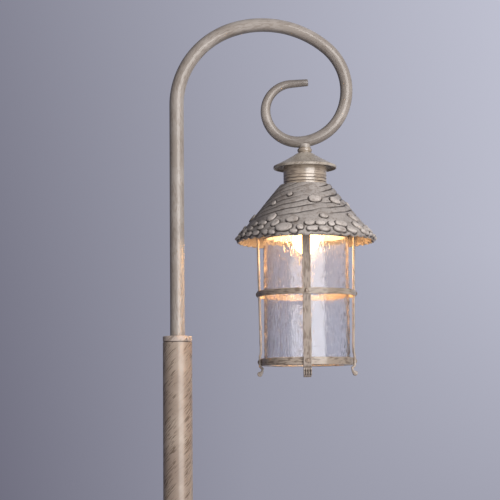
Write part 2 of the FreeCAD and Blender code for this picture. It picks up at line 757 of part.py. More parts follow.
# Hanger: the lantern's axis and the height of the boss face under the curl
hang_centre = centres[HANGING_BEND]
hang_bend = BENDS[HANGING_BEND][0]
hang_heading = headings[HANGING_BEND] + size.hang_turn
axis_x = hang_centre[0] - hang_bend * sine(hang_heading)
arm_height = hang_centre[1] + hang_bend * cosine(hang_heading)
hang_face = hang_centre[1] - hang_bend - BENDS[HANGING_BEND][2] / 2 - size.boss_lip
thread_hole = size.thread_diameter + size.thread_fit * 2
lead_way = new_sketch(arm, "XY_Plane", "arm_lead_way_circle", hang_face)
circle(lead_way, thread_hole + size.swivel_gap * 2, axis_x)
cut(arm, lead_way, "arm_lead_way", arm_height - hang_face)
boss_blank = turned(
    "boss_blank",
    [
        (thread_hole / 2, hang_face),
        (size.boss_diameter / 2, hang_face),
        (size.boss_diameter / 2, hang_face + size.boss_height),
        (thread_hole / 2, hang_face + size.boss_height),
    ],
    x=axis_x,
)
boss = doc.addObject("Part::Cut", "hanger_boss")
boss.Base = boss_blank
boss.Tool = arm
boss.Label = "hanger_boss"

# Lantern pieces stand on the axis under the boss, with heights from the bottom of the feet
roof_top = size.roof_edge + size.roof_height
chimney_top = roof_top + size.chimney_height
hood_top = chimney_top + size.spacer_height + size.hood_wall
bead_top = hood_top + size.bead_height
lantern_height = bead_top + size.swivel_gap
lantern = {"x": axis_x, "z": hang_face - lantern_height}
thread_half = thread_hole / 2
bead = turned(
    "hanger_bead",
    [
        (thread_half, hood_top),
        (size.bead_neck / 2, hood_top, size.bead_round, 1),
        (size.bead_neck / 2, bead_top),
        (thread_half, bead_top),
    ],
    **lantern,
)

# Hood: a spun sheet with a hollow side and a rolled rim
rim_top = hood_top - size.hood_drop
rim_low = rim_top - size.hood_rim
rim_radius = size.hood_diameter / 2
crown = size.hood_crown / 2
hood = turned(
    "chimney_hood",
    [
        (thread_half, hood_top),
        (thread_half, hood_top - size.hood_wall),
        (crown - size.hood_wall / 2, hood_top - size.hood_wall, size.hood_sweep + size.hood_wall, 1),
        (rim_radius - size.hood_rim_roll - size.hood_wall / 2, rim_top - size.hood_wall),
        (rim_radius - size.hood_rim_roll, rim_low),
        (rim_radius, rim_low),
        (rim_radius, rim_top - size.hood_rim_roll / 2),
        (rim_radius - size.hood_rim_roll, rim_top, size.hood_sweep, -1),
        (crown, hood_top),
    ],
    **lantern,
)

# Chimney: an open tube with a vented top, held off the hood by a spacer
chimney_radius = size.chimney_diameter / 2
chimney = turned(
    "chimney_tube",
    [
        (chimney_radius - size.chimney_wall, roof_top),
        (chimney_radius, roof_top),
        (chimney_radius, chimney_top),
        (thread_half, chimney_top),
        (thread_half, chimney_top - size.chimney_wall),
        (chimney_radius - size.chimney_wall, chimney_top - size.chimney_wall),
    ],
    **lantern,
)
vent = new_sketch(chimney, "XY_Plane", "vent_circle", chimney_top)
circle(vent, size.vent_diameter, size.vent_circle / 2)
vent_hole = cut(chimney, vent, "vent", size.chimney_wall * 2, forward=False)
spread(chimney, [vent_hole], "vents", size.vent_count)
spacer = turned(
    "hood_spacer",
    [
        (thread_half, chimney_top),
        (size.spacer_diameter / 2, chimney_top),
        (size.spacer_diameter / 2, hood_top - size.hood_wall),
        (thread_half, hood_top - size.hood_wall),
    ],
    **lantern,
)

# Roof: a cast cone with a rounded rim, a collar for the chimney and four lugs for the straps
roof_radius = size.roof_diameter / 2
roof_crown = size.roof_top_diameter / 2
slope = (roof_radius - roof_crown) / size.roof_height


def cone_radius(height):
    """Outside of the roof at a height."""
    return roof_radius - slope * (height - size.roof_edge)


web_low = roof_top - size.roof_web
roof_low = size.roof_edge - size.roof_lip_height
spigot_radius = chimney_radius - size.chimney_wall - size.slip_fit
roof_hole = spigot_radius - size.spigot_wall
roof = turned(
    "lantern_roof",
    [
        (roof_hole, web_low),
        (cone_radius(web_low) - size.roof_wall, web_low),
        (cone_radius(roof_low) - size.roof_wall - size.roof_lip, roof_low),
        (roof_radius - size.roof_lip, roof_low, size.roof_lip_round, 1),
        (roof_radius, size.roof_edge),
        (roof_crown, roof_top),
        (spigot_radius, roof_top),
        (spigot_radius, roof_top + size.spigot_height),
        (roof_hole, roof_top + size.spigot_height),
    ],
    **lantern,
)
lug_low = size.roof_edge + size.lug_lift
lug_high = lug_low + size.lug_height
screw_height = lug_low + size.lug_height / 2
strap_high = lug_high + size.strap_above
strap_radius = cone_radius(strap_high) - size.roof_wall - size.strap_roof_gap
lug_face = strap_radius + size.ring_fit
lug = new_sketch(roof, "XZ_Plane", "lug_side")
outline(
    lug,
    [
        (lug_face, lug_low),
        (cone_radius(lug_low) - size.roof_wall / 2, lug_low),
        (cone_radius(lug_high) - size.roof_wall / 2, lug_high),
        (lug_face, lug_high),
    ],
)
lug_pad = padded(roof, lug, "lug", size.lug_width, both_sides=True)
spread(roof, [lug_pad], "lugs", strap_count)
lug_thread = radial_hole(
    roof,
    "lug_thread",
    size.screw_thread + size.slip_fit * 2,
    screw_height,
    lug_face + size.screw_reach + size.slip_fit,
)
spread(roof, [lug_thread], "lug_threads", strap_count)

# Bridge bar and nut: pull the roof and chimney up against the hood
bar = new_body("bridge_bar", **lantern)
bar_low = web_low - size.bar_thickness
bar_end = cone_radius(web_low) - size.roof_wall - size.bar_end_gap
bar_plan = new_sketch(bar, "XY_Plane", "bar_plan", bar_low)
outline(
    bar_plan,
    [
        (plain(0.0) - bar_end, plain(0.0) - size.bar_width / 2),
        (bar_end, plain(0.0) - size.bar_width / 2),
        (bar_end, size.bar_width / 2),
        (plain(0.0) - bar_end, size.bar_width / 2),
    ],
)
circle(bar_plan, thread_hole)
padded(bar, bar_plan, "bar_plate", size.bar_thickness)
nut_low = bar_low - size.bar_nut_height
bar_nut = hexagon_nut(
    "bridge_nut", size.bar_nut_across, thread_hole, nut_low, size.bar_nut_height, **lantern
)

# Lamp holder: a moulded body on the threaded pipe, with a screw shell and a centre contact
neck_top = nut_low - size.holder_gap
neck_low = neck_top - size.holder_neck
holder_shoulder = neck_low - size.holder_taper
holder_side = holder_shoulder - size.holder_bevel
holder_low = holder_side - size.holder_skirt
holder_floor = neck_low - size.holder_roof
cap_radius = size.bulb_cap_diameter / 2
shell_radius = cap_radius + size.bulb_cap_gap + size.shell_wall
holder_bore = shell_radius + size.shell_gap
holder = turned(
    "lamp_holder",
    [
        (holder_bore, holder_low),
        (holder_bore + size.holder_wall, holder_low),
        (holder_bore + size.holder_wall, holder_side),
        (size.holder_crown / 2, holder_shoulder),
        (size.holder_neck_diameter / 2, neck_low),
        (size.holder_neck_diameter / 2, neck_top),
        (thread_half, neck_top),
        (thread_half, neck_low),
        (None, neck_low),
        (None, holder_floor),
        (holder_bore, holder_floor),
    ],
    **lantern,
)
pipe = turned(
    "hanger_pipe",
    [
        (size.thread_bore / 2, neck_low + size.swivel_gap),
        (size.thread_diameter / 2, neck_low + size.swivel_gap),
        (size.thread_diameter / 2, lantern_height + size.thread_above),
        (size.thread_bore / 2, lantern_height + size.thread_above),
    ],
    **lantern,
)
shell_low = holder_floor - size.shell_height
shell = turned(
    "holder_shell",
    [
        (shell_radius - size.shell_wall, shell_low),
        (shell_radius, shell_low),
        (shell_radius, holder_floor),
        (shell_radius - size.shell_wall, holder_floor),
    ],
    **lantern,
)
contact_low = holder_floor - size.contact_height
contact = turned(
    "holder_contact",
    [
        (None, contact_low),
        (size.contact_tip / 2, contact_low),
        (size.contact_tip / 2, holder_floor - size.contact_sheet),
        (size.contact_diameter / 2, holder_floor - size.contact_sheet),
        (size.contact_diameter / 2, holder_floor),
        (None, holder_floor),
    ],
    **lantern,
)

# Bulb: a globe with a neck, its screw cap, and the contact on its insulator
globe = size.bulb_diameter / 2
inner_globe = globe - size.bulb_wall
bulb_top = contact_low - size.contact_gap
bulb_contact_low = bulb_top - size.bulb_contact_height
cap_high = bulb_contact_low - size.bulb_insulator
cap_low = cap_high - size.bulb_cap_height
globe_centre = cap_low - size.bulb_reach
shoulder_out = cosine(size.bulb_shoulder)
shoulder_up = sine(size.bulb_shoulder)
bulb_glass = turned(
    "bulb_globe",
    [
        (None, globe_centre - globe, globe, 1),
        (globe * shoulder_out, globe_centre + globe * shoulder_up, size.bulb_neck_sweep, -1),
        (size.bulb_neck / 2, cap_low),
        (size.bulb_neck / 2 - size.bulb_wall, cap_low, size.bulb_neck_sweep + size.bulb_wall, 1),
        (inner_globe * shoulder_out, globe_centre + inner_globe * shoulder_up, inner_globe, -1),
        (None, globe_centre - inner_globe),
    ],
    **lantern,
)
bulb_cap = turned(
    "bulb_screw_cap",
    [
        (None, cap_low),
        (cap_radius, cap_low),
        (cap_radius, cap_high),
        (size.bulb_contact_diameter / 2, bulb_contact_low),
        (None, bulb_contact_low),
    ],
    **lantern,
)
bulb_contact = turned(
    "bulb_contact",
    [
        (None, bulb_contact_low),
        (size.bulb_contact_diameter / 2, bulb_contact_low),
        (size.contact_tip / 2, bulb_top),
        (None, bulb_top),
    ],
    **lantern,
)

# Straps: four bars that lean in, step out over the lower ring, tuck in under it and end in a fluted roll
strap_inner = strap_radius - size.strap_thickness
strap_bend = size.roof_edge - size.strap_bend
waist = strap_radius - size.strap_lean
waist_inner = waist - size.strap_thickness
joggle_low = size.low_ring_low + size.low_ring_width + size.strap_joggle_gap
joggle_high = joggle_low + size.strap_joggle_rise
hip = waist + size.strap_joggle
hip_inner = hip - size.strap_thickness
ankle = hip - size.foot_tuck
ankle_inner = ankle - size.strap_thickness
tuck_high = size.low_ring_low - size.ring_fit
tuck_low = tuck_high - size.foot_tuck_drop
tuck_face = size.strap_thickness / 2
roll_x = ankle + size.foot_kick
roll = size.foot_roll
flare = size.foot_flare_sweep
flare_reach = flare - size.foot_kick
flare_rise = root((flare + roll) * (flare + roll) - flare_reach * flare_reach)
flare_start_z = roll + flare_rise
flare_x = roll_x + roll * flare_reach / (flare + roll)
flare_z = roll + roll * flare_rise / (flare + roll)
back_reach = roll_x - ankle_inner
back_rise = tuck_low - roll
back_sweep = (back_reach * back_reach + back_rise * back_rise - roll * roll) / ((back_reach - roll) * 2)
back_x = roll_x - roll * (back_sweep - back_reach) / (back_sweep - roll)
back_z = roll - roll * back_rise / (back_sweep - roll)
ledge_top = size.low_ring_low + size.ledge_thickness
low_rivet_height = ledge_top + size.rivet_tail / 2 + size.low_rivet_gap
rivet_hole = size.rivet_shank + size.slip_fit * 2
screw_hole = size.screw_thread + size.slip_fit * 2


def flutes(strap, label):
    """Flutes that run down the face of a foot, out along its flare and round the roll."""
    line = strap.newObject("Sketcher::SketchObject", f"{label}_line")
    line.AttachmentSupport = [(origin_part(strap, "XZ_Plane"), "")]
    line.MapMode = "FlatFace"
    line.setExpression("AttachmentOffset.Base.z", (size.flute_pitch * (size.flute_count - 1) / 2).text)
    end_x = roll_x + roll * cosine(size.flute_end)
    end_z = roll - roll * sine(size.flute_end)
    run = [
        (ankle, tuck_low - tuck_face),
        (ankle, flare_start_z, flare, 1),
        (flare_x, flare_z, roll, -1),
        (end_x, end_z),
    ]
    outline(line, run, closed=False)
    doc.recompute()
    groove = strap.newObject("Sketcher::SketchObject", f"{label}_groove")
    groove.AttachmentSupport = [(line, "Edge1")]
    groove.MapMode = "NormalToEdge"
    groove.MapPathParameter = 0
    circle(groove, size.flute_width)
    doc.recompute()
    flute = strap.newObject("PartDesign::SubtractivePipe", f"{label}_cut")
    flute.Profile = groove
    flute.Spine = (line, ["Edge1", "Edge2", "Edge3"])
    strap.Tip = flute
    pattern = strap.newObject("PartDesign::LinearPattern", f"{label}_pattern")
    pattern.Originals = [flute]
    pattern.Direction = (origin_part(strap, "Y_Axis"), [""])
    pattern.setExpression("Length", (size.flute_pitch * (size.flute_count - 1)).text)
    pattern.Occurrences = int(size.flute_count.number)
    strap.Tip = pattern


straps = []
for side, bearing in STRAPS:
    strap = new_body(f"strap_{side}", bearing=bearing, **lantern)
    edge = new_sketch(strap, "XZ_Plane", f"strap_{side}_side")
    outline(
        edge,
        [
            (strap_inner, strap_high),
            (strap_inner, strap_bend),
            (waist_inner, joggle_high),
            (hip_inner, joggle_low),
            (hip_inner, tuck_high),
            (ankle_inner, tuck_low, back_sweep, 1),
            (back_x, back_z, roll, 1),
            (roll_x, None, roll, 1),
            (roll_x + roll, roll, roll, 1),
            (flare_x, flare_z, flare, -1),
            (ankle, flare_start_z),
            (ankle, tuck_low - tuck_face),
            (hip, tuck_high - tuck_face),
            (hip, joggle_low),
            (waist, joggle_high),
            (strap_radius, strap_bend),
            (strap_radius, strap_high),
        ],
    )
    padded(strap, edge, f"strap_{side}_bar", size.strap_width, both_sides=True)
    radial_hole(strap, f"strap_{side}_low_hole", rivet_hole, low_rivet_height, roof_radius)
    radial_hole(strap, f"strap_{side}_mid_hole", rivet_hole, size.mid_ring_height, roof_radius)
    radial_hole(strap, f"strap_{side}_screw_hole", screw_hole, screw_height, roof_radius)
    flutes(strap, f"strap_{side}_flute")
    straps.append(strap)

# Rings: the middle one goes round the straps, the lower one lies inside them and carries the glass
lean = size.strap_lean / (strap_bend - joggle_high)
mid_face = waist + lean * (size.mid_ring_height - joggle_high)
mid_face_top = mid_face + lean * size.mid_ring_width / 2
strap_corner = mid_face_top * mid_face_top + size.strap_width * size.strap_width / 4
mid_inner = root(strap_corner) + size.ring_fit
mid_outer = mid_inner + size.ring_wall
mid_low = size.mid_ring_height - size.mid_ring_width / 2
mid_ring = turned(
    "mid_ring",
    [
        (mid_inner, mid_low),
        (mid_outer, mid_low),
        (mid_outer, mid_low + size.mid_ring_width),
        (mid_inner, mid_low + size.mid_ring_width),
    ],
    **lantern,
)
mid_hole = radial_hole(mid_ring, "mid_ring_hole", rivet_hole, size.mid_ring_height, roof_radius)
spread(mid_ring, [mid_hole], "mid_ring_holes", strap_count)
low_outer = hip_inner - size.ring_fit
low_inner = low_outer - size.ring_wall
glass_radius = waist_inner - size.glass_gap
glass_inner = glass_radius - size.glass_wall
seal_inner = glass_inner - size.seal_lip
ledge_radius = seal_inner - size.ledge_lip
low_ring = turned(
    "low_ring",
    [
        (ledge_radius, size.low_ring_low),
        (low_outer, size.low_ring_low),
        (low_outer, size.low_ring_low + size.low_ring_width),
        (low_inner, size.low_ring_low + size.low_ring_width),
        (low_inner, ledge_top),
        (ledge_radius, ledge_top),
    ],
    **lantern,
)
low_hole = radial_hole(low_ring, "low_ring_hole", rivet_hole, low_rivet_height, roof_radius)
spread(low_ring, [low_hole], "low_ring_holes", strap_count)


def fasteners(label, height, corners):
    """Four like fasteners, turned about radial axes; corners are (distance out, radius)."""
    body = new_body(label, **lantern)
    half = new_sketch(body, "XZ_Plane", f"{label}_half_section")
    run = [(out, height + radius if radius else height, *rest) for out, radius, *rest in corners]
    outline(half, run)
    axle = Part.LineSegment(
        FreeCAD.Vector(0, height.number, 0), FreeCAD.Vector(strap_radius.number, height.number, 0)
    )
    line = half.addGeometry(axle, True)
    place(half, line, 1, None, height)
    half.addConstraint(Sketcher.Constraint("Horizontal", line))
    hold(half, "DistanceX", line, 1, line, 2, to=strap_radius)
    turn = body.newObject("PartDesign::Revolution", f"{label}_turning")
    turn.Profile = half
    turn.ReferenceAxis = (half, ["Axis0"])
    turn.Angle = 360
    body.Tip = turn
    spread(body, [turn], f"{label}_pattern", strap_count)
    return body


def rivet_corners(back, face):
    """A rivet from the face behind it to the face its dome sits on."""
    shank = size.rivet_shank / 2
    head = size.rivet_head / 2
    tail_radius = size.rivet_tail / 2
    back = back - size.slip_fit
    face = face + size.slip_fit
    dome = (head * head + size.rivet_dome * size.rivet_dome) / (size.rivet_dome * 2)
    return [
        (back - size.rivet_tail_height, None),
        (back - size.rivet_tail_height, tail_radius),
        (back, tail_radius),
        (back, shank),
        (face, shank),
        (face, head, dome, -1),
        (face + size.rivet_dome, None),
    ]


mid_rivets = fasteners(
    "mid_rivets", size.mid_ring_height, rivet_corners(mid_face - size.strap_thickness, mid_outer)
)
low_rivets = fasteners("low_rivets", low_rivet_height, rivet_corners(low_inner, hip))
screw_face = strap_inner - size.slip_fit
strap_screws = fasteners(
    "strap_screws",
    screw_height,
    [
        (screw_face - size.screw_head_height, None),
        (screw_face - size.screw_head_height, size.screw_head / 2),
        (screw_face, size.screw_head / 2),
        (screw_face, size.screw_thread / 2),
        (lug_face + size.screw_reach, size.screw_thread / 2),
        (lug_face + size.screw_reach, None),
    ],
)

# Glass: a tube that stands in a soft seal on the lower ring's ledge
seal_bed = ledge_top + size.seal_floor
seal_outer = glass_radius + size.glass_fit + size.seal_wall
glass_high = strap_high + size.glass_above
seal = turned(
    "glass_seal",
    [
        (seal_inner, ledge_top),
        (seal_outer, ledge_top),
        (seal_outer, ledge_top + size.seal_height),
        (glass_radius + size.glass_fit, ledge_top + size.seal_height),
        (glass_radius + size.glass_fit, seal_bed),
        (seal_inner, seal_bed),
    ],
    **lantern,
)
glass = turned(
    "glass_cylinder",
    [
        (glass_inner, seal_bed),
        (glass_radius, seal_bed),
        (glass_radius, glass_high),
        (glass_inner, glass_high),
    ],
    **lantern,
)

doc.recompute()
pieces = (
    [base, post, foot_plug, foot_pipe, foot_washer, foot_nut, block, block_screw, top, clamp, seat]
    + [arm, boss, bead, pipe, hood, spacer, chimney, roof, bar, bar_nut, holder, shell, contact]
    + straps
    + [mid_ring, low_ring, mid_rivets, low_rivets, strap_screws, seal, glass]
    + [bulb_glass, bulb_cap, bulb_contact]
)
for item in doc.Objects:
    if "Invalid" in item.State or "Error" in item.State:
        raise RuntimeError(f"{item.Label} did not recompute")
os.makedirs("parts", exist_ok=True)
for piece in pieces:
    if piece.Shape.isNull() or not piece.Shape.isValid():
        raise RuntimeError(f"{piece.Label} has no valid solid")
    piece.Shape.exportStep(f"parts/{piece.Label}.step")
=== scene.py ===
"""Garden lamp post with a crook arm and a lit hanging lantern, dressed for a studio picture.
Metres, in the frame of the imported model: Z up from the ground on the post's axis, +X to the lantern."""
import json
import math
import random

import bmesh
import bpy
from mathutils import Matrix, Vector


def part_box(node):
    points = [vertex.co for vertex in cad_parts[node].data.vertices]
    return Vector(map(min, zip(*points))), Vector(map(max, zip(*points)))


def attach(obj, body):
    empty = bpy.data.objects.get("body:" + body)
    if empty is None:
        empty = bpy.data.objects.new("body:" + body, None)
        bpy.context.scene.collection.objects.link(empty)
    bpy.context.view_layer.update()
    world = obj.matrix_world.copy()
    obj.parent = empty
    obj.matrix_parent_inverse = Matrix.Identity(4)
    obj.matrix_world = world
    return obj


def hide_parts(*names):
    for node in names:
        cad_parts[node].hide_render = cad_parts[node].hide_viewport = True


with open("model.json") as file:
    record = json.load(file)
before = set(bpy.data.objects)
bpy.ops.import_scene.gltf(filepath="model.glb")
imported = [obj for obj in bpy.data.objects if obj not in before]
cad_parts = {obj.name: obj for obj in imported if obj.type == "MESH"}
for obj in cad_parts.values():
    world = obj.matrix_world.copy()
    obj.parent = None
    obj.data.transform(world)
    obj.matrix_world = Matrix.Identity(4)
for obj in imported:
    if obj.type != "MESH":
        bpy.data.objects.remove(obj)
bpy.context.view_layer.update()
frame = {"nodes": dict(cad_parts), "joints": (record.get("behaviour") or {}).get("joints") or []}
mm = 0.001

# Cast foot: a round iron casting that stands on the ground and is bolted down through its flange.
# Its pebbled skin carries the same cream paint, rubbed with a brown glaze, as the rest of the lamp.


def tint(red, green, blue):
    """A display colour, each part from 0 to 255, as the linear colour that a shader takes."""
    linear = []
    for part in (red / 255, green / 255, blue / 255):
        linear.append(part / 12.92 if part <= 0.04045 else ((part + 0.055) / 1.055) ** 2.4)
    return (*linear, 1.0)


def put(tree, kind, inputs=None, **settings):
    """Adds a node with its settings; inputs are numbers, colours or other nodes' sockets."""
    made = tree.nodes.new(kind)
    for key, value in settings.items():
        setattr(made, key, value)
    for key, value in (inputs or {}).items():
        if isinstance(value, bpy.types.NodeSocket):
            tree.links.new(value, made.inputs[key])
        else:
            made.inputs[key].default_value = value
    return made


def noise(tree, where, scale, detail=3.0, rough=0.55):
    """Noise between 0 and 1 with so many waves to the metre."""
    inputs = {"Vector": where, "Scale": scale, "Detail": detail, "Roughness": rough}
    return put(tree, "ShaderNodeTexNoise", inputs).outputs[0]


def step(tree, value, low, high):
    """A soft step from 0 at low to 1 at high."""
    inputs = {"Value": value, "From Min": low, "From Max": high}
    return put(tree, "ShaderNodeMapRange", inputs, interpolation_type="SMOOTHSTEP").outputs[0]


def span(tree, value, low, high):
    """A value from 0 to 1 spread evenly from low to high."""
    return put(tree, "ShaderNodeMapRange", {"Value": value, "To Min": low, "To Max": high}).outputs[0]


def maths(tree, operation, first, second=0.0):
    """What an operation makes of one or two numbers or sockets."""
    return put(tree, "ShaderNodeMath", {0: first, 1: second}, operation=operation).outputs[0]


def times(tree, first, second):
    """The product of two numbers or sockets."""
    return maths(tree, "MULTIPLY", first, second)


def rest_of(tree, share):
    """What a share leaves of the whole."""
    return maths(tree, "SUBTRACT", 1.0, share)


def mixed(tree, share, first, second):
    """A colour between two colours."""
    return put(tree, "ShaderNodeMix", {0: share, 6: first, 7: second}, data_type="RGBA").outputs[2]


def new_material(name):
    """An empty finish, with its tree, its shader and the coordinates of the piece."""
    material = bpy.data.materials.new(name)
    material.use_nodes = True
    tree = material.node_tree
    shader = tree.nodes["Principled BSDF"]
    return material, tree, shader, put(tree, "ShaderNodeTexCoord").outputs["Object"]


def stored(tree, name):
    """A share from 0 to 1 that is stored on the points of the mesh."""
    return put(tree, "ShaderNodeAttribute", attribute_name=name).outputs["Fac"]


def embossed(tree, shader, height, strength, depth):
    """Gives a finish a relief from a height between 0 and 1, so many metres deep."""
    bump = put(tree, "ShaderNodeBump", {"Height": height, "Strength": strength, "Distance": depth})
    tree.links.new(bump.outputs[0], shader.inputs["Normal"])


GLAZE = tint(92, 76, 62)
# Dark for real specks of soot, and for painted shade in hollows and on shaded sides.
SOOT_AND_SHADE = tint(46, 38, 34)


def antique_paint(name, cream, aged, strokes=440.0, glaze=0.85, gloss=0.6, haze=0.11, skin=0.0):
    """Cream paint under brown glaze, which a stiff brush left in thin strokes. A painted highlight keeps a
    band free of strokes, and painted shade, with some glaze, darkens hollows and shaded sides, where a mesh
    stores them. The varnish over it has a gloss and a haze, and skin is a cast pebbling."""
    material, tree, shader, place = new_material(name)
    brush = put(tree, "ShaderNodeAttribute", attribute_name="brush").outputs["Vector"]
    bristle = noise(tree, brush, strokes, 2.0, 0.5)
    patch = noise(tree, brush, strokes / 5, 2.0)
    cloud = noise(tree, place, 26.0, 3.0)
    speck = noise(tree, place, 520.0, 2.0)
    colour = mixed(tree, step(tree, cloud, 0.34, 0.66), cream, aged)
    thin = times(tree, step(tree, bristle, 0.51, 0.59), step(tree, patch, 0.34, 0.52))
    # A band kept free of glaze strokes, where a mesh stores it, is a painted highlight.
    left = times(tree, rest_of(tree, stored(tree, "wiped")), glaze)
    colour = mixed(tree, times(tree, thin, left), colour, GLAZE)
    colour = mixed(tree, times(tree, step(tree, speck, 0.68, 0.76), 0.4), colour, SOOT_AND_SHADE)
    # Painted shade, with some glaze: darkened where a mesh stores a share of it.
    colour = mixed(tree, times(tree, stored(tree, "hollow"), 0.85), colour, SOOT_AND_SHADE)
    tree.links.new(colour, shader.inputs["Base Color"])
    tree.links.new(span(tree, bristle, 0.40, 0.62), shader.inputs["Roughness"])
    shader.inputs["Coat Weight"].default_value = gloss
    shader.inputs["Coat Roughness"].default_value = haze
    shader.inputs["Specular IOR Level"].default_value = 0.2
    shader.inputs["Coat IOR"].default_value = 1.45 + 0.3 * gloss
    height = rest_of(tree, thin)
    if skin:
        height = maths(tree, "ADD", height, times(tree, noise(tree, place, 260.0), skin))
    embossed(tree, shader, height, 0.14, 0.12 * mm)
    return material


ALONG = 0.2


def upright_strokes(point):
    """Brush coordinates squeezed along Z, so that strokes stand upright."""
    return (point.x, point.y, point.z * ALONG)


def level_strokes(point):
    """Brush coordinates squeezed across, so that strokes run round an upright piece."""
    return (point.x * ALONG, point.y * ALONG, point.z)


def slanted_strokes(axis_x, radius):
    """Brush coordinates twisted about an upright axis: strokes climb to the right at half a right angle."""

    def rule(point):
        turn = point.z / radius
        x, y = point.x - axis_x, point.y
        across = x * math.cos(turn) + y * math.sin(turn)
        deep = y * math.cos(turn) - x * math.sin(turn)
        return (across, deep, point.z * ALONG)

    return rule


def brush_marks(mesh, marks):
    """Stores the brush coordinates on the points of a mesh."""
    brush = mesh.attributes.new("brush", "FLOAT_VECTOR", "POINT")
    for spot, mark in zip(brush.data, marks):
        spot.vector = mark


def placed(name, data):
    """A new object in the scene."""
    made = bpy.data.objects.new(name, data)
    bpy.context.scene.collection.objects.link(made)
    return made


def piece_of(mesh, material, rule=upright_strokes, sharp=38):
    """An object of a mesh, shaded smooth except at edges sharper than so many degrees."""
    mesh.polygons.foreach_set("use_smooth", [True] * len(mesh.polygons))
    mesh.set_sharp_from_angle(angle=math.radians(sharp))
    mesh.materials.clear()
    mesh.materials.append(material)
    if rule and "brush" not in mesh.attributes:
        brush_marks(mesh, [rule(vertex.co) for vertex in mesh.vertices])
    return placed(mesh.name, mesh)


def fitted(piece, body, slot, *nodes):
    """The piece moves with a body and stands for the CAD nodes named."""
    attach(piece, body)
    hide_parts(*nodes)


def mesh_from(name, shape):
    """Turns an edited shape into a mesh."""
    mesh = bpy.data.meshes.new(name)
    shape.to_mesh(mesh)
    shape.free()
    return mesh


MERGE = 0.002 * mm
FLAT_EDGE = math.radians(0.4)
SHARP_EDGE = math.radians(32)


def softened(name, node, width):
    """A merged copy of a CAD piece with its sharp edges rounded off."""
    shape = bmesh.new()
    shape.from_mesh(frame["nodes"][node].data)
    bmesh.ops.remove_doubles(shape, verts=shape.verts, dist=MERGE)
    bmesh.ops.dissolve_limit(shape, angle_limit=FLAT_EDGE, verts=shape.verts, edges=shape.edges)
    sharp = [edge for edge in shape.edges if edge.is_manifold and edge.calc_face_angle() > SHARP_EDGE]
    bmesh.ops.bevel(
        shape, geom=sharp, offset=width, segments=2, profile=0.5, affect="EDGES", clamp_overlap=True
    )
    bmesh.ops.triangulate(shape, faces=[face for face in shape.faces if len(face.verts) > 4])
    return mesh_from(name, shape)


post_axis = slanted_strokes(0.0, 19 * mm)
cast_paint = antique_paint("cast_paint", tint(164, 149, 135), tint(140, 125, 112), skin=1.6)
foot = piece_of(softened("foot_casting", "base_casting", 0.8 * mm), cast_paint, post_axis)
fitted(foot, "post", "cast_foot", "base_casting")

# Foot fixing: threaded plug, pipe, washer and nut of zinced steel, which pull the post into its foot,
# and the moulded terminal block with its screw in the space under the casting.


def plated(name, colour, dull, low, high):
    """Plated or bare metal with faint clouds and fine turning marks."""
    material, tree, shader, place = new_material(name)
    cloud = noise(tree, place, 90.0, 3.0)
    turned = put(tree, "ShaderNodeMapping", {"Vector": place, "Scale": (60.0, 60.0, 2400.0)}).outputs[0]
    mark = noise(tree, turned, 1.0, 2.0)
    tree.links.new(mixed(tree, step(tree, cloud, 0.3, 0.7), colour, dull), shader.inputs["Base Color"])
    tree.links.new(span(tree, cloud, low, high), shader.inputs["Roughness"])
    shader.inputs["Metallic"].default_value = 1.0
    embossed(tree, shader, mark, 0.25, 0.05 * mm)
    return material


def moulded(name, colour, dull, low, high, coat=0.0):
    """Moulded or glazed matter with a slight mottle and an uneven gloss."""
    material, tree, shader, place = new_material(name)
    mottle = noise(tree, place, 240.0, 3.0)
    tree.links.new(mixed(tree, mottle, colour, dull), shader.inputs["Base Color"])
    tree.links.new(span(tree, mottle, low, high), shader.inputs["Roughness"])
    shader.inputs["Coat Weight"].default_value = coat
    embossed(tree, shader, mottle, 0.2, 0.1 * mm)
    return material


def dressed(material, *nodes):
    """CAD pieces that keep their shape and take a finish."""
    for node in nodes:
        part = frame["nodes"][node]
        if not part.material_slots:
            part.data.materials.append(material)
        for place in part.material_slots:
            place.material = material


zinced_steel = plated("zinced_steel", tint(176, 176, 172), tint(138, 138, 136), 0.30, 0.52)
black_moulding = moulded("black_moulding", tint(46, 46, 48), tint(34, 34, 36), 0.38, 0.55)
dressed(
    zinced_steel, "post_foot_plug", "post_foot_pipe", "post_foot_washer", "post_foot_nut", "terminal_screw"
)
dressed(black_moulding, "terminal_block")

# Post: a steel tube from the foot's socket to the collar, painted cream; the brown glaze was rubbed
# on with a stiff brush in slanting strokes that climb to the right. A band down the front is kept free of
# strokes as a painted highlight, and the flank right of it is darkened as painted shade.


def extent(node):
    """Half width, lower height and upper height of a CAD piece."""
    low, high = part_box(node)
    return (high.x - low.x) / 2, low.z, high.z


LONGEST_BEND = 0.45


def rounded(before, corner, after, radius, steps):
    """Points round a corner between its neighbours, over less than half of the way to each of them."""
    here = Vector(corner)
    back, onward = Vector(before) - here, Vector(after) - here
    reach = min(radius, back.length * LONGEST_BEND, onward.length * LONGEST_BEND)
    start, stop = here + back.normalized() * reach, here + onward.normalized() * reach
    points = []
    for number in range(steps + 1):
        share = number / steps
        points.append(start * (1 - share) ** 2 + here * 2 * share * (1 - share) + stop * share**2)
    return points


def soft(corners, radius, steps=4):
    """Rounds the corners of a closed profile; a third number in a corner is its own radius."""
    points = []
    for index, corner in enumerate(corners):
        wanted = corner[2] if len(corner) > 2 else radius
        if wanted:
            after = corners[(index + 1) % len(corners)]
            points += rounded(corners[index - 1][:2], corner[:2], after[:2], wanted, steps)
        else:
            points.append(Vector(corner[:2]))
    return [(point.x, point.y) for point in points]


def run(start, stop, pitch):
    """Points in a straight line, no further apart than pitch, that keep their corners."""
    start, stop = Vector(start), Vector(stop)
    count = max(1, math.ceil((stop - start).length / pitch))
    return [(*start.lerp(stop, number / count), 0.0) for number in range(count + 1)]


SEAM_MERGE = 0.001 * mm


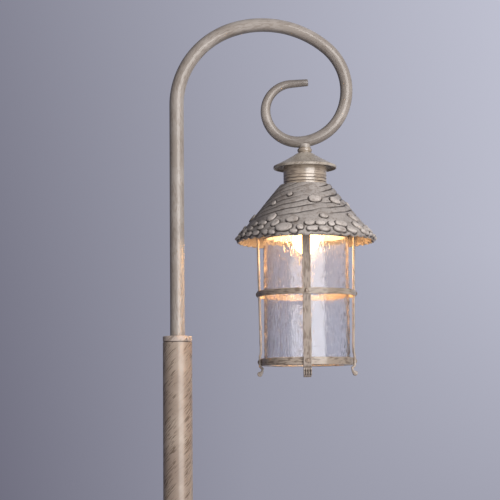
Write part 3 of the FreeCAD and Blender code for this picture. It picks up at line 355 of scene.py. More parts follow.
def lathe(name, profile, axis_x=0.0, around=96):
    """Turns a closed profile of (radius, height) about an upright axis."""
    shape = bmesh.new()
    rings = []
    for number in range(around):
        turn = 2 * math.pi * number / around
        x, y = math.cos(turn), math.sin(turn)
        spots = [(axis_x + radius * x, radius * y, height) for radius, height in profile]
        rings.append([shape.verts.new(spot) for spot in spots])
    for number, near in enumerate(rings):
        far = rings[(number + 1) % around]
        for index in range(len(profile)):
            after = (index + 1) % len(profile)
            shape.faces.new((near[index], near[after], far[after], far[index]))
    bmesh.ops.remove_doubles(shape, verts=shape.verts, dist=SEAM_MERGE)
    wires = [edge for edge in shape.edges if edge.is_wire]
    bmesh.ops.delete(shape, geom=wires, context="EDGES")
    bmesh.ops.recalc_face_normals(shape, faces=shape.faces)
    return mesh_from(name, shape)


post_paint = antique_paint(
    "post_paint", tint(167, 152, 138), tint(148, 132, 119), strokes=560.0, glaze=0.78, gloss=0.45
)
post_radius, post_low, post_high = extent("post_tube")
POST_WALL = 1.5 * mm
post_bore = post_radius - POST_WALL
post_side = run((post_radius, post_low), (post_radius, post_high), 2.5 * mm)
post_profile = soft([(post_bore, post_high, 0), (post_bore, post_low, 0), *post_side], 0)
post = piece_of(lathe("post", post_profile), post_paint, post_axis)

# Bearings round the post, in degrees from the front to the right, of the band kept free of glaze strokes
# as a painted highlight, and of the flank darkened as painted shade.
HIGHLIGHT_MIDDLE = 14
HIGHLIGHT_HALF = 23
HIGHLIGHT_FADE = 11
HIGHLIGHT_SHARE = 0.85
FLANK_START = 32
FLANK_RISE = 10
FLANK_STOP = 110
FLANK_FADE = 20
FLANK_SHADE_SHARE = 0.2


def held(share):
    """A share kept between 0 and 1."""
    return min(max(share, 0.0), 1.0)


def front_bearing(point):
    """Bearing of a point round the post, in degrees from the front to the right."""
    return math.degrees(math.atan2(point.x, -point.y))


def painted_highlight_band(point):
    """Share of glaze strokes left out of a band down the front of the post, as a painted highlight."""
    return HIGHLIGHT_SHARE * held((HIGHLIGHT_HALF - abs(front_bearing(point) - HIGHLIGHT_MIDDLE)) / HIGHLIGHT_FADE)


def painted_shade_flank(point):
    """Share of painted shade on the post's right flank, right of the painted highlight band."""
    bearing = front_bearing(point)
    rise = held((bearing - FLANK_START) / FLANK_RISE)
    return FLANK_SHADE_SHARE * rise * held((FLANK_STOP - bearing) / FLANK_FADE)


def store_shares(mesh, name, rule):
    """Stores what a rule gives for each point of a mesh: a share of painted highlight, or of painted shade
    and glaze.
    """
    shares = [rule(vertex.co) for vertex in mesh.vertices]
    mesh.attributes.new(name, "FLOAT", "POINT").data.foreach_set("value", shares)


# A band down the front kept free of glaze strokes, as a painted highlight.
store_shares(post.data, "wiped", painted_highlight_band)
# The flank right of that band, darkened as painted shade.
store_shares(post.data, "hollow", painted_shade_flank)
fitted(post, "post", "tube_paint", "post_tube")

# Post collar: a turned steel ring, flush with the post, on a spigot inside the tube. Its bevelled lower
# edge leaves a groove where it meets the post; groove and bore are darkened as painted shade. The crook
# arm turns in its bore and in the seat cup below.
collar_radius, collar_low, collar_high = extent("post_top_plug")
COLLAR_BORE = 9.56 * mm
COLLAR_BEVEL = 0.8 * mm
COLLAR_GROOVE = 1.3 * mm
spigot_radius = post_bore - 0.1 * mm
collar_profile = [
    (COLLAR_BORE, collar_low),
    (spigot_radius, collar_low),
    (spigot_radius, post_high, 0),
    (collar_radius - COLLAR_GROOVE, post_high, 0),
    (collar_radius - COLLAR_GROOVE, post_high + COLLAR_GROOVE / 2, 0),
    (collar_radius, post_high + COLLAR_GROOVE),
    (collar_radius, collar_high - COLLAR_BEVEL),
    (collar_radius - COLLAR_BEVEL, collar_high),
    (COLLAR_BORE, collar_high),
]


def collar_painted_shade(point):
    """Painted shade: bore and groove are darkened, the outside and the upper face aren't."""
    return float(point.xy.length < collar_radius - COLLAR_BEVEL and point.z < collar_high - mm)


collar_mesh = lathe("post_collar", soft(collar_profile, 0.4 * mm))
# Groove and bore darkened as painted shade.
store_shares(collar_mesh, "hollow", collar_painted_shade)
collar_paint = antique_paint("collar_paint", tint(188, 174, 164), tint(170, 155, 144), glaze=0.5, gloss=0.3)
collar = piece_of(collar_mesh, collar_paint, post_axis)
fitted(collar, "post", "tube_paint", "post_top_plug")
dressed(zinced_steel, "arm_seat_cup")

# Clamp screw: a slotted steel screw in the side of the collar, painted over with it. Its point bears on
# the arm and keeps it from turning.
clamp = piece_of(softened("clamp_screw", "arm_clamp_screw", 0.25 * mm), collar_paint, post_axis)
fitted(clamp, "post", "plain_steel", "arm_clamp_screw")

# Crook arm: a steel tube bent to a large arch and drawn out to a curl with a blunt tip. It is painted like
# the post, with finer strokes. The glaze is thick on the curl's tip, and inside the arch and low on the
# curl the paint is darkened as painted shade, with glaze.
arm_paint = antique_paint(
    "arm_paint", tint(160, 152, 145), tint(146, 137, 129), strokes=620.0, glaze=0.3, gloss=0.5
)
arm_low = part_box("crook_arm")[0].z
CROOK_START = 1084 * mm
# Radius in mm, turn in degrees and diameter in mm at the end of each bend.
BENDS = (
    (105.5, 73.0, 18.5),
    (130.0, 58.0, 17.0),
    (75.5, 74.0, 15.8),
    (64.0, 62.0, 15.0),
    (43.0, 83.0, 13.2),
    (36.0, 96.0, 10.6),
)
ARM_DIAMETER = 19.0 * mm
TAIL = 23.0 * mm
TIP_DIAMETER = 9.2 * mm
TIP_BLUNT = 1.2 * mm
TIP_STEPS = 4
STATION = 3.0 * mm


def crook_stations():
    """Place, heading, length so far and radius at stations along the arm, in metres."""
    spot = Vector((0.0, arm_low))
    heading = math.pi / 2
    along = 0.0
    stations = []

    def straight(length, first, last):
        nonlocal spot, along
        count = math.ceil(length / STATION)
        way = Vector((math.cos(heading), math.sin(heading)))
        for number in range(count):
            share = number / count
            reach = length * share
            thick = (first + (last - first) * share) / 2
            stations.append((spot + way * reach, heading, along + reach, thick))
        spot = spot + way * length
        along += length

    straight(CROOK_START - arm_low, ARM_DIAMETER, ARM_DIAMETER)
    diameter = ARM_DIAMETER
    for bend, turn, taper in BENDS:
        bend_radius = bend * mm
        narrow = taper * mm
        centre = spot + Vector((math.sin(heading), -math.cos(heading))) * bend_radius
        length = bend_radius * math.radians(turn)
        count = math.ceil(length / STATION)
        for number in range(count):
            share = number / count
            way = heading - math.radians(turn) * share
            place = centre - Vector((math.sin(way), -math.cos(way))) * bend_radius
            thick = (diameter + (narrow - diameter) * share) / 2
            stations.append((place, way, along + length * share, thick))
        heading -= math.radians(turn)
        spot = centre - Vector((math.sin(heading), -math.cos(heading))) * bend_radius
        along += length
        diameter = narrow
    straight(TAIL, diameter, TIP_DIAMETER)
    way = Vector((math.cos(heading), math.sin(heading)))
    for number in range(TIP_STEPS + 1):
        turn = math.pi / 2 * number / TIP_STEPS
        place = spot - way * TIP_BLUNT * (1 - math.sin(turn))
        thick = TIP_DIAMETER / 2 - TIP_BLUNT * (1 - math.cos(turn))
        stations.append((place, heading, along + TIP_BLUNT * number / TIP_STEPS, thick))
    return stations


def skinned(name, points, marks, shares, around):
    """A closed skin over rows of so many points, with its brush marks and its shares of painted shade
    and glaze.
    """
    faces = []
    for row in range(len(points) // around - 1):
        here, there = row * around, (row + 1) * around
        for number in range(around):
            after = (number + 1) % around
            faces.append((here + number, there + number, there + after, here + after))
    faces.append(tuple(range(around)))
    faces.append(tuple(reversed(range(len(points) - around, len(points)))))
    mesh = bpy.data.meshes.new(name)
    mesh.from_pydata(points, [], faces)
    brush_marks(mesh, marks)
    mesh.attributes.new("hollow", "FLOAT", "POINT").data.foreach_set("value", shares)
    shape = bmesh.new()
    shape.from_mesh(mesh)
    bmesh.ops.recalc_face_normals(shape, faces=shape.faces)
    shape.to_mesh(mesh)
    shape.free()
    return mesh


STROKE_WIND = 160 * mm


def crook(name, stations, glaze, around=40):
    """A round tube through the stations, closed at both ends, with strokes that wind along it."""
    points, marks, shares = [], [], []
    for place, heading, along, thick in stations:
        for number in range(around):
            turn = 2 * math.pi * number / around
            side = Vector((-math.sin(heading), math.cos(heading))) * math.cos(turn) * thick
            points.append((place.x + side.x, math.sin(turn) * thick, place.y + side.y))
            wound = turn - along / STROKE_WIND
            marks.append((thick * math.cos(wound), thick * math.sin(wound), along * ALONG))
            # Each point's share of painted shade and glaze.
            shares.append(glaze(Vector(points[-1]), turn, along))
    return skinned(name, points, marks, shares, around)


arm_stations = crook_stations()
# Where the arm is darkened, by glaze at the curl's tip and by painted shade with glaze low on the curl
# and inside the arch: how far each patch reaches, how far it fades, and its share.
CURL_SIDE = 60 * mm
TIP_REACH = 70 * mm
TIP_FADE = 55 * mm
TIP_GLAZE = 0.62
LOW_REACH = 42 * mm
LOW_FADE = 34 * mm
LOW_SHADE_AND_GLAZE = 0.46
ARCH_DELAY = 70 * mm
ARCH_FADE = 60 * mm
ARCH_SHADE_AND_GLAZE = 0.6
ARCH_EDGE = 0.62
ARCH_SOFT = 0.3
curl_tip = Vector((arm_stations[-1][0].x, 0.0, arm_stations[-1][0].y))
curl_low = min(place.y - thick for place, heading, along, thick in arm_stations if place.x > CURL_SIDE)
arch_start = CROOK_START - arm_low + ARCH_DELAY


def curl_shade_and_glaze(point, turn, along):
    """Share of darkening on the arm: glaze at the curl's tip, painted shade with glaze on the curl's
    lowest part and inside the arch.
    """
    tip = held((TIP_REACH - (point - curl_tip).length) / TIP_FADE)
    low = held((curl_low + LOW_REACH - point.z) / LOW_FADE) if point.x > CURL_SIDE else 0.0
    inside = held((-math.cos(turn) - ARCH_EDGE) / ARCH_SOFT)
    arched = held((along - arch_start) / ARCH_FADE)
    return max(TIP_GLAZE * tip, LOW_SHADE_AND_GLAZE * low, ARCH_SHADE_AND_GLAZE * inside * arched)


arm = piece_of(crook("crook", arm_stations, curl_shade_and_glaze), arm_paint)
fitted(arm, "arm", "tube_paint", "crook_arm")

# Boss: a short steel collar, welded under the lowest part of the curl and painted with the arm. The
# lantern's pipe turns in its bore.
hang = Vector(next(joint["pos_m"] for joint in frame["joints"] if joint["name"] == "lantern_swivel"))
boss = piece_of(softened("curl_boss", "hanger_boss", 0.3 * mm), arm_paint, slanted_strokes(hang.x, 8 * mm))
fitted(boss, "arm", "tube_paint", "hanger_boss")

# Bead: a turned brass nut with a rounded side, painted, between the boss and the hood; the hollow
# threaded pipe runs down through it and carries the whole lantern.


def bow(start, stop, radius, steps=14):
    """Points of an arc from start to stop; a positive radius swells to the right of the way."""
    start, stop = Vector(start), Vector(stop)
    way = stop - start
    left = Vector((-way.y, way.x)).normalized()
    inset = math.sqrt(radius**2 - way.length_squared / 4)
    centre = (start + stop) / 2 + left * math.copysign(inset, radius)
    first, last = start - centre, stop - centre
    angle = math.atan2(first.x * last.y - first.y * last.x, first.dot(last))
    points = []
    for number in range(steps + 1):
        turn = angle * number / steps
        cos, sin = math.cos(turn), math.sin(turn)
        spoke = Vector((first.x * cos - first.y * sin, first.x * sin + first.y * cos))
        points.append((*(centre + spoke), 0.0))
    return points


lantern_paint = antique_paint(
    "lantern_paint", tint(164, 151, 136), tint(140, 127, 113), strokes=520.0, gloss=1.0
)
around_lantern = slanted_strokes(hang.x, 40 * mm)
PIPE_HOLE = 5.0 * mm
bead_low, bead_high = extent("hanger_bead")[1:]
BEAD_NECK = 8.0 * mm
BEAD_LIP = 0.7 * mm
BEAD_SWELL = 3.0 * mm
bead_side = bow((BEAD_NECK, bead_low + BEAD_LIP), (BEAD_NECK, bead_high - BEAD_LIP), BEAD_SWELL)
bead_profile = [
    (PIPE_HOLE, bead_high, 0),
    (PIPE_HOLE, bead_low, 0),
    (BEAD_NECK, bead_low, 0),
    *bead_side,
    (BEAD_NECK, bead_high, 0),
]
bead = piece_of(lathe("hanging_bead", soft(bead_profile, 0), hang.x, 64), lantern_paint, level_strokes)
fitted(bead, "lantern", "lantern_paint", "hanger_bead")
dressed(zinced_steel, "hanger_pipe")

# Hood: a bell spun from sheet steel, with a hollow side and a rolled rim, that keeps rain off the
# chimney; a spacer tube on the pipe holds it up. Its paint is flatter than the chimney's.
hood_paint = antique_paint(
    "hood_paint", tint(176, 167, 156), tint(152, 143, 132), strokes=520.0, glaze=0.6, gloss=0.25, skin=1.2
)
hood_radius, hood_low, hood_high = extent("chimney_hood")
HOOD_SHEET = 1.5 * mm
HOOD_CROWN = 9.4 * mm
HOOD_RIM = 4.0 * mm
HOOD_ROLL = 1.6 * mm
HOOD_SWEEP = 240 * mm
rim_high = hood_low + HOOD_RIM
hood_outside = bow((hood_radius - HOOD_ROLL, rim_high), (HOOD_CROWN, hood_high), -HOOD_SWEEP)
hood_inside = bow(
    (HOOD_CROWN - HOOD_SHEET / 2, hood_high - HOOD_SHEET),
    (hood_radius - HOOD_ROLL - HOOD_SHEET / 2, rim_high - HOOD_SHEET),
    HOOD_SWEEP + HOOD_SHEET,
)
hood_profile = [
    (PIPE_HOLE, hood_high - HOOD_SHEET, 0),
    *hood_inside,
    (hood_radius - HOOD_ROLL, hood_low),
    (hood_radius, hood_low),
    (hood_radius, rim_high - HOOD_ROLL / 2),
    *hood_outside,
    (PIPE_HOLE, hood_high, 0),
]
hood = piece_of(lathe("hood", soft(hood_profile, 0.7 * mm), hang.x, 128), hood_paint, around_lantern)
fitted(hood, "lantern", "lantern_paint", "chimney_hood")
dressed(zinced_steel, "hood_spacer")

# Chimney: a short tube drawn from sheet steel between roof and hood, with three level grooves near its
# foot and six round vents in its top plate. The grooves are darkened by their depth as painted shade,
# with brown glaze settled in them.
chimney_paint = antique_paint(
    "chimney_paint",
    tint(178, 163, 146),
    tint(158, 143, 127),
    strokes=520.0,
    glaze=0.5,
    gloss=1.0,
    haze=0.22,
)
chimney_radius, chimney_low, chimney_high = extent("chimney_tube")
CHIMNEY_SHEET = 1.5 * mm
# Height of each groove above the foot, and its depth.
GROOVES = ((3.4 * mm, 0.75 * mm), (7.5 * mm, 0.7 * mm), (11.6 * mm, 0.4 * mm))
GROOVE_HALF = 0.75 * mm
GROOVE_SHADE_DEPTH = 0.5 * mm
GROOVED_STEP = 0.2 * mm
GROOVED_STEPS = 65
VENTS = 6
VENT_RADIUS = 4.5 * mm
VENT_CIRCLE = 18 * mm


def groove_depth(height):
    """How far the chimney's outside is cut in at a height above its foot."""
    for middle, depth in GROOVES:
        share = abs(height - middle) / GROOVE_HALF
        if share < 1:
            return depth * (0.5 + 0.5 * math.cos(math.pi * share))
    return 0.0


def grooved_side():
    """The chimney's outside from foot to top."""
    points = [(chimney_radius, chimney_low, 0)]
    for number in range(1, GROOVED_STEPS + 1):
        height = GROOVED_STEP * number
        points.append((chimney_radius - groove_depth(height), chimney_low + height, 0))
    return points


chimney_profile = [
    (chimney_radius - CHIMNEY_SHEET, chimney_low, 0),
    *grooved_side(),
    (chimney_radius, chimney_high),
    (PIPE_HOLE, chimney_high, 0),
    (PIPE_HOLE, chimney_high - CHIMNEY_SHEET, 0),
    (chimney_radius - CHIMNEY_SHEET, chimney_high - CHIMNEY_SHEET),
]
chimney_mesh = lathe("chimney", soft(chimney_profile, 0.6 * mm), hang.x, 128)
# The grooves darkened by their depth as painted shade, with settled glaze.
store_shares(chimney_mesh, "hollow", lambda point: held(groove_depth(point.z - chimney_low) / GROOVE_SHADE_DEPTH))
chimney = piece_of(chimney_mesh, chimney_paint, level_strokes)
vents = bmesh.new()
for number in range(VENTS):
    bearing = 2 * math.pi * number / VENTS
    spot = (hang.x + VENT_CIRCLE * math.cos(bearing), VENT_CIRCLE * math.sin(bearing), chimney_high)
    bmesh.ops.create_cone(
        vents,
        cap_ends=True,
        segments=32,
        radius1=VENT_RADIUS,
        radius2=VENT_RADIUS,
        depth=4 * CHIMNEY_SHEET,
        matrix=Matrix.Translation(spot),
    )
punches = placed("vent_punches", mesh_from("vent_punches", vents))
punched = chimney.modifiers.new("vents", "BOOLEAN")
punched.object = punches
punched.operation = "DIFFERENCE"


def worked_out(piece):
    """The plain mesh that a piece's modifiers make."""
    return bpy.data.meshes.new_from_object(piece.evaluated_get(bpy.context.evaluated_depsgraph_get()))


punched_mesh = worked_out(chimney)
chimney.modifiers.clear()
chimney.data = punched_mesh
bpy.data.objects.remove(punches)
fitted(chimney, "lantern", "lantern_paint", "chimney_tube")

# Roof stones: flat pebbles in relief on the roof, cast in one with it: three rows along the rim, closest
# at the edge, and larger single stones higher up. Raised faces are rubbed paler than the hollows.
roof_radius, roof_bottom = extent("lantern_roof")[:2]
lantern_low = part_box("strap_front")[0].z
EDGE_HEIGHT = 178.5 * mm
TOP_HEIGHT = 249.0 * mm
ROOF_CROWN = 33.5 * mm
roof_edge = lantern_low + EDGE_HEIGHT
roof_top = lantern_low + TOP_HEIGHT
slope = Vector((ROOF_CROWN - roof_radius, roof_top - roof_edge))
up_slope = slope / slope.length
# Bearing in degrees from the front to the right, place up the slope, length and breadth in mm, and lean
# in degrees.
SINGLE_STONES = (
    (13, 60, 17, 12, 8),
    (44, 58, 16, 10, -20),
    (-25, 69, 7, 6, 20),
    (-47, 55, 8, 7, 30),
    (-36, 28, 14, 10, 60),
    (-29, 17, 12, 9, 50),
    (-13, 22, 16, 9, 5),
    (-19, 9, 22, 13, 5),
    (-43, 11, 9, 7, 20),
    (-45, 2, 11, 6, 10),
    (-35, 2, 9, 7, 0),
    (-54, 2, 10, 6, 10),
    (3, 15, 13, 7, 0),
    (13, 15, 13, 7, -4),
    (23, 14, 9, 8, 0),
    (33, 15, 17, 9, -12),
    (18, 28, 11, 6, -12),
    (-5, 8, 9, 8, 10),
    (-10, 1, 10, 5, 0),
    (5, 5, 14, 7, 0),
    (15, 5, 14, 8, -5),
    (29, 5, 17, 9, -12),
    (41, 5, 15, 9, -18),
    (53, 14, 17, 9, -30),
    (56, 29, 17, 9, -42),
    (58, 4, 16, 7, -15),
    (72, 12, 15, 9, -20),
    (96, 58, 15, 10, 10),
    (128, 30, 18, 11, -20),
    (150, 62, 12, 9, 15),
    (176, 33, 20, 12, 5),
    (-158, 57, 16, 10, -12),
    (-136, 31, 15, 10, 25),
    (-108, 60, 14, 9, -8),
    (-82, 34, 18, 10, 20),
)
# Place up the slope in mm, share of the row that is filled, shortest and longest stone and breadth in mm.
ROWS = ((1.5, 0.95, 8.0, 13.0, 5.0), (10.5, 0.85, 10.0, 16.0, 7.0), (19.5, 0.5, 10.0, 15.0, 7.0))
STONE_RISE = 1.5 * mm
STONE_SWELL = 0.04
STONE_GAP = 1.3 * mm
STONE_OVERLAP = 0.4
STONE_SEED = 7
# Chance in the rows: start and close in radians, stray in mm, lean in degrees and share of the breadth.
ROW_START = 0.2
ROW_CLOSE = 0.05
ROW_STRAY = 1.3
ROW_LEAN = 14
ROW_BREADTHS = (0.85, 1.2)
PEBBLE_FULLNESS = (0.86, 0.86, 0.5)


def roof_spot(bearing, up):
    """A place on the roof: bearing in radians from +X, up in metres of slope from the rim."""
    radius = roof_radius + up_slope.x * up
    height = roof_edge + up_slope.y * up
    return Vector((hang.x + radius * math.cos(bearing), radius * math.sin(bearing), height))


def roof_turn(bearing, lean):
    """Axes of a stone that lies on the roof: level, up the slope and out of it, then leant."""
    level = Vector((-math.sin(bearing), math.cos(bearing), 0.0))
    rise = Vector((up_slope.x * math.cos(bearing), up_slope.x * math.sin(bearing), up_slope.y))
    axes = Matrix((level, rise, level.cross(rise))).transposed()
    return (axes @ Matrix.Rotation(math.radians(lean), 3, "Z")).to_euler()


def roof_stones():
    """Place, turn and half sizes of every stone: the single ones, then the rows between them."""
    chance = random.Random(STONE_SEED)
    stones = []
    taken = []
    for bearing, up, long, broad, lean in SINGLE_STONES:
        around = math.radians(bearing - 90)
        taken.append((around, up * mm, long * mm / 2, broad * mm / 2))
        half = Vector((long * mm / 2, broad * mm / 2, STONE_RISE + long * mm * STONE_SWELL))
        stones.append((roof_spot(around, up * mm), roof_turn(around, lean), half))
    for up, filled, shortest, longest, broad in ROWS:
        bearing = chance.uniform(0, ROW_START)
        finish = bearing + 2 * math.pi
        while bearing < finish:
            long = chance.uniform(shortest, longest) * mm
            wide = broad * chance.uniform(*ROW_BREADTHS) * mm
            rise = (up + chance.uniform(-ROW_STRAY, ROW_STRAY)) * mm
            radius = roof_radius + up_slope.x * rise
            around = bearing + long / 2 / radius
            lean = chance.uniform(-ROW_LEAN, ROW_LEAN)
            bearing += (long + STONE_GAP) / radius
            kept = chance.random() < filled and bearing < finish + ROW_CLOSE
            for other, height, reach, breadth in taken:
                gap = abs((around - other + math.pi) % (2 * math.pi) - math.pi) * radius
                beside = gap < reach + long * STONE_OVERLAP
                if beside and abs(rise - height) < breadth + wide * STONE_OVERLAP:
                    kept = False
            if kept:
                half = Vector((long / 2, wide / 2, STONE_RISE + long * STONE_SWELL))
                stones.append((roof_spot(around, rise), roof_turn(around, lean), half))
    return stones


def pebble(name):
    """One worn stone of unit size: nearly round in plan, with a flattened top."""
    shape = bmesh.new()
    bmesh.ops.create_icosphere(shape, subdivisions=3, radius=1.0)
    for vertex in shape.verts:
        for axis, fullness in enumerate(PEBBLE_FULLNESS):
            vertex.co[axis] = math.copysign(abs(vertex.co[axis]) ** fullness, vertex.co[axis])
    return placed(name, mesh_from(name, shape))


def new_tree(name, **sockets):
    """A geometry tree with a mesh going in and out, and named inputs of the kinds given."""
    tree = bpy.data.node_groups.new(name, "GeometryNodeTree")
    tree.interface.new_socket("Mesh", in_out="INPUT", socket_type="NodeSocketGeometry")
    tree.interface.new_socket("Mesh", in_out="OUTPUT", socket_type="NodeSocketGeometry")
    for label, kind in sockets.items():
        tree.interface.new_socket(label, in_out="INPUT", socket_type=f"NodeSocket{kind}")
    return tree, put(tree, "NodeGroupInput").outputs


def grown(name, mesh, tree, **values):
    """Runs a geometry tree on a mesh and keeps the result as a plain mesh."""
    carrier = placed(f"{name}_carrier", mesh)
    modifier = carrier.modifiers.new(name, "NODES")
    modifier.node_group = tree
    for socket in tree.interface.items_tree:
        if socket.in_out == "INPUT" and socket.name in values:
            modifier[socket.identifier] = values[socket.name]
    result = worked_out(carrier)
    result.name = name
    carrier.modifiers.remove(modifier)
    bpy.data.objects.remove(carrier)
    return result


def vectors(tree, operation, first, second=(0.0, 0.0, 0.0)):
    """The vector that comes of one or two vectors."""
    return put(tree, "ShaderNodeVectorMath", {0: first, 1: second}, operation=operation).outputs[0]


def measured(tree, operation, first, second=(0.0, 0.0, 0.0)):
    """The number that comes of one or two vectors."""
    return put(tree, "ShaderNodeVectorMath", {0: first, 1: second}, operation=operation).outputs["Value"]


def along_normal(tree, amount):
    """A move out of the surface."""
    normal = put(tree, "GeometryNodeInputNormal").outputs[0]
    return put(tree, "ShaderNodeVectorMath", {0: normal, "Scale": amount}, operation="SCALE").outputs[0]


def moved(tree, mesh, offset):
    """The mesh with each point moved."""
    return put(tree, "GeometryNodeSetPosition", {"Geometry": mesh, "Offset": offset}).outputs[0]


def real(tree, copies):
    """Copies made into a mesh of their own."""
    return put(tree, "GeometryNodeRealizeInstances", {"Geometry": copies}).outputs[0]


def tree_end(tree, mesh, finish):
    """Ends a tree with a real mesh in its finish."""
    inputs = {"Geometry": real(tree, mesh), "Material": finish}
    put(tree, "NodeGroupOutput", {0: put(tree, "GeometryNodeSetMaterial", inputs).outputs[0]})


def stone_tree():
    """Lays a pebble on every point, turned and sized as the point says, and roughens each one."""
    tree, given = new_tree("stone_relief", Pebble="Object", Wear="Float", Waves="Float", Paint="Material")
    named = "GeometryNodeInputNamedAttribute"
    turn = put(tree, named, {"Name": "turn"}, data_type="FLOAT_VECTOR").outputs[0]
    half = put(tree, named, {"Name": "half"}, data_type="FLOAT_VECTOR").outputs[0]
    rotation = put(tree, "FunctionNodeEulerToRotation", {0: turn}).outputs[0]
    stone = put(tree, "GeometryNodeObjectInfo", {"Object": given["Pebble"]}).outputs["Geometry"]
    inputs = {"Points": given["Mesh"], "Instance": stone, "Rotation": rotation, "Scale": half}
    laid = put(tree, "GeometryNodeInstanceOnPoints", inputs).outputs[0]
    place = put(tree, "GeometryNodeInputPosition").outputs[0]
    wear = maths(tree, "SUBTRACT", noise(tree, place, given["Waves"], 2.0), 0.5)
    wear = times(tree, wear, given["Wear"])
    worn = moved(tree, real(tree, laid), along_normal(tree, wear))
    tree_end(tree, worn, given["Paint"])
    return tree


# How far the painted shade on the side towards the post reaches, and its share.
SHADE_REACH = 80 * mm
SHADE_SHARE = 0.36


def relief_paint(name, cream, aged):
    """Paint on the cast roof: painted shade in the hollows and under the roof, pale on proud relief, and
    painted shade on the side towards the post.
    """
    material, tree, shader, place = new_material(name)
    hollow = stored(tree, "hollow")
    cloud = noise(tree, place, 40.0, 4.0)
    grain = noise(tree, place, 330.0, 4.0, 0.65)
    speck = noise(tree, place, 700.0, 2.0)
    dirt_and_shade = noise(tree, place, 120.0, 3.0)
    colour = mixed(tree, step(tree, cloud, 0.3, 0.7), cream, aged)
    colour = mixed(tree, times(tree, step(tree, grain, 0.5, 0.7), 0.5), colour, GLAZE)
    colour = mixed(tree, times(tree, step(tree, dirt_and_shade, 0.5, 0.68), 0.4), colour, GLAZE)
    colour = mixed(tree, times(tree, step(tree, speck, 0.62, 0.74), 0.5), colour, SOOT_AND_SHADE)
    # Painted shade in the crevices and grooves and under the roof.
    deep = times(tree, step(tree, hollow, 0.12, 0.95), 0.92)
    colour = mixed(tree, deep, colour, SOOT_AND_SHADE)
    # Painted shade on the open faces on the side towards the post.
    across = put(tree, "ShaderNodeSeparateXYZ", {0: place}).outputs[0]
    unshaded_side = step(tree, across, hang.x - SHADE_REACH, hang.x)
    open_face = span(tree, step(tree, hollow, 0.45, 0.6), SHADE_SHARE, 0.0)
    colour = mixed(tree, times(tree, rest_of(tree, unshaded_side), open_face), colour, SOOT_AND_SHADE)
    tree.links.new(colour, shader.inputs["Base Color"])
    tree.links.new(span(tree, grain, 0.42, 0.68), shader.inputs["Roughness"])
    embossed(tree, shader, grain, 0.6, 0.35 * mm)
    return material


stone_paint = relief_paint("stone_paint", tint(192, 184, 178), tint(168, 160, 154))
stones = roof_stones()
stone_points = bpy.data.meshes.new("stone_points")
stone_points.from_pydata([spot for spot, turn, half in stones], [], [])
turns = stone_points.attributes.new("turn", "FLOAT_VECTOR", "POINT")
halves = stone_points.attributes.new("half", "FLOAT_VECTOR", "POINT")
for index, (spot, turn, half) in enumerate(stones):
    turns.data[index].vector = turn
    halves.data[index].vector = half
worn_pebble = pebble("worn_pebble")
stone_mesh = grown(
    "roof_stones",
    stone_points,
    stone_tree(),
    Pebble=worn_pebble,
    Wear=1.2 * mm,
    Waves=150.0,
    Paint=stone_paint,
)
bpy.data.objects.remove(worn_pebble)
roof_relief = piece_of(stone_mesh, stone_paint, None, 60)
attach(roof_relief, "lantern")

# Roof: a cone cast in aluminium, with wood grain that climbs round it, crevices round the stones and a
# scalloped rim. The collar on its top centres the chimney; the straps are screwed to four lugs inside.
CAST_ROUGH = 1.3 * mm
FINE_GRAIN = 0.3 * mm
# Share of painted shade under the roof.
UNDERSIDE_SHADE = 0.64
# Heights over the rim between which the grain sets in and the scallops run out, how far a crevice fades
# from its stone, and how far in from the rim the scallops set in and are full.
GRAIN_HEIGHTS = (16 * mm, 30 * mm)
SCALLOP_HEIGHTS = (-1.5 * mm, 5.0 * mm)
CREVICE_REACH = (0.3 * mm, 2.3 * mm)
RIM_REACH = (9 * mm, 2 * mm)


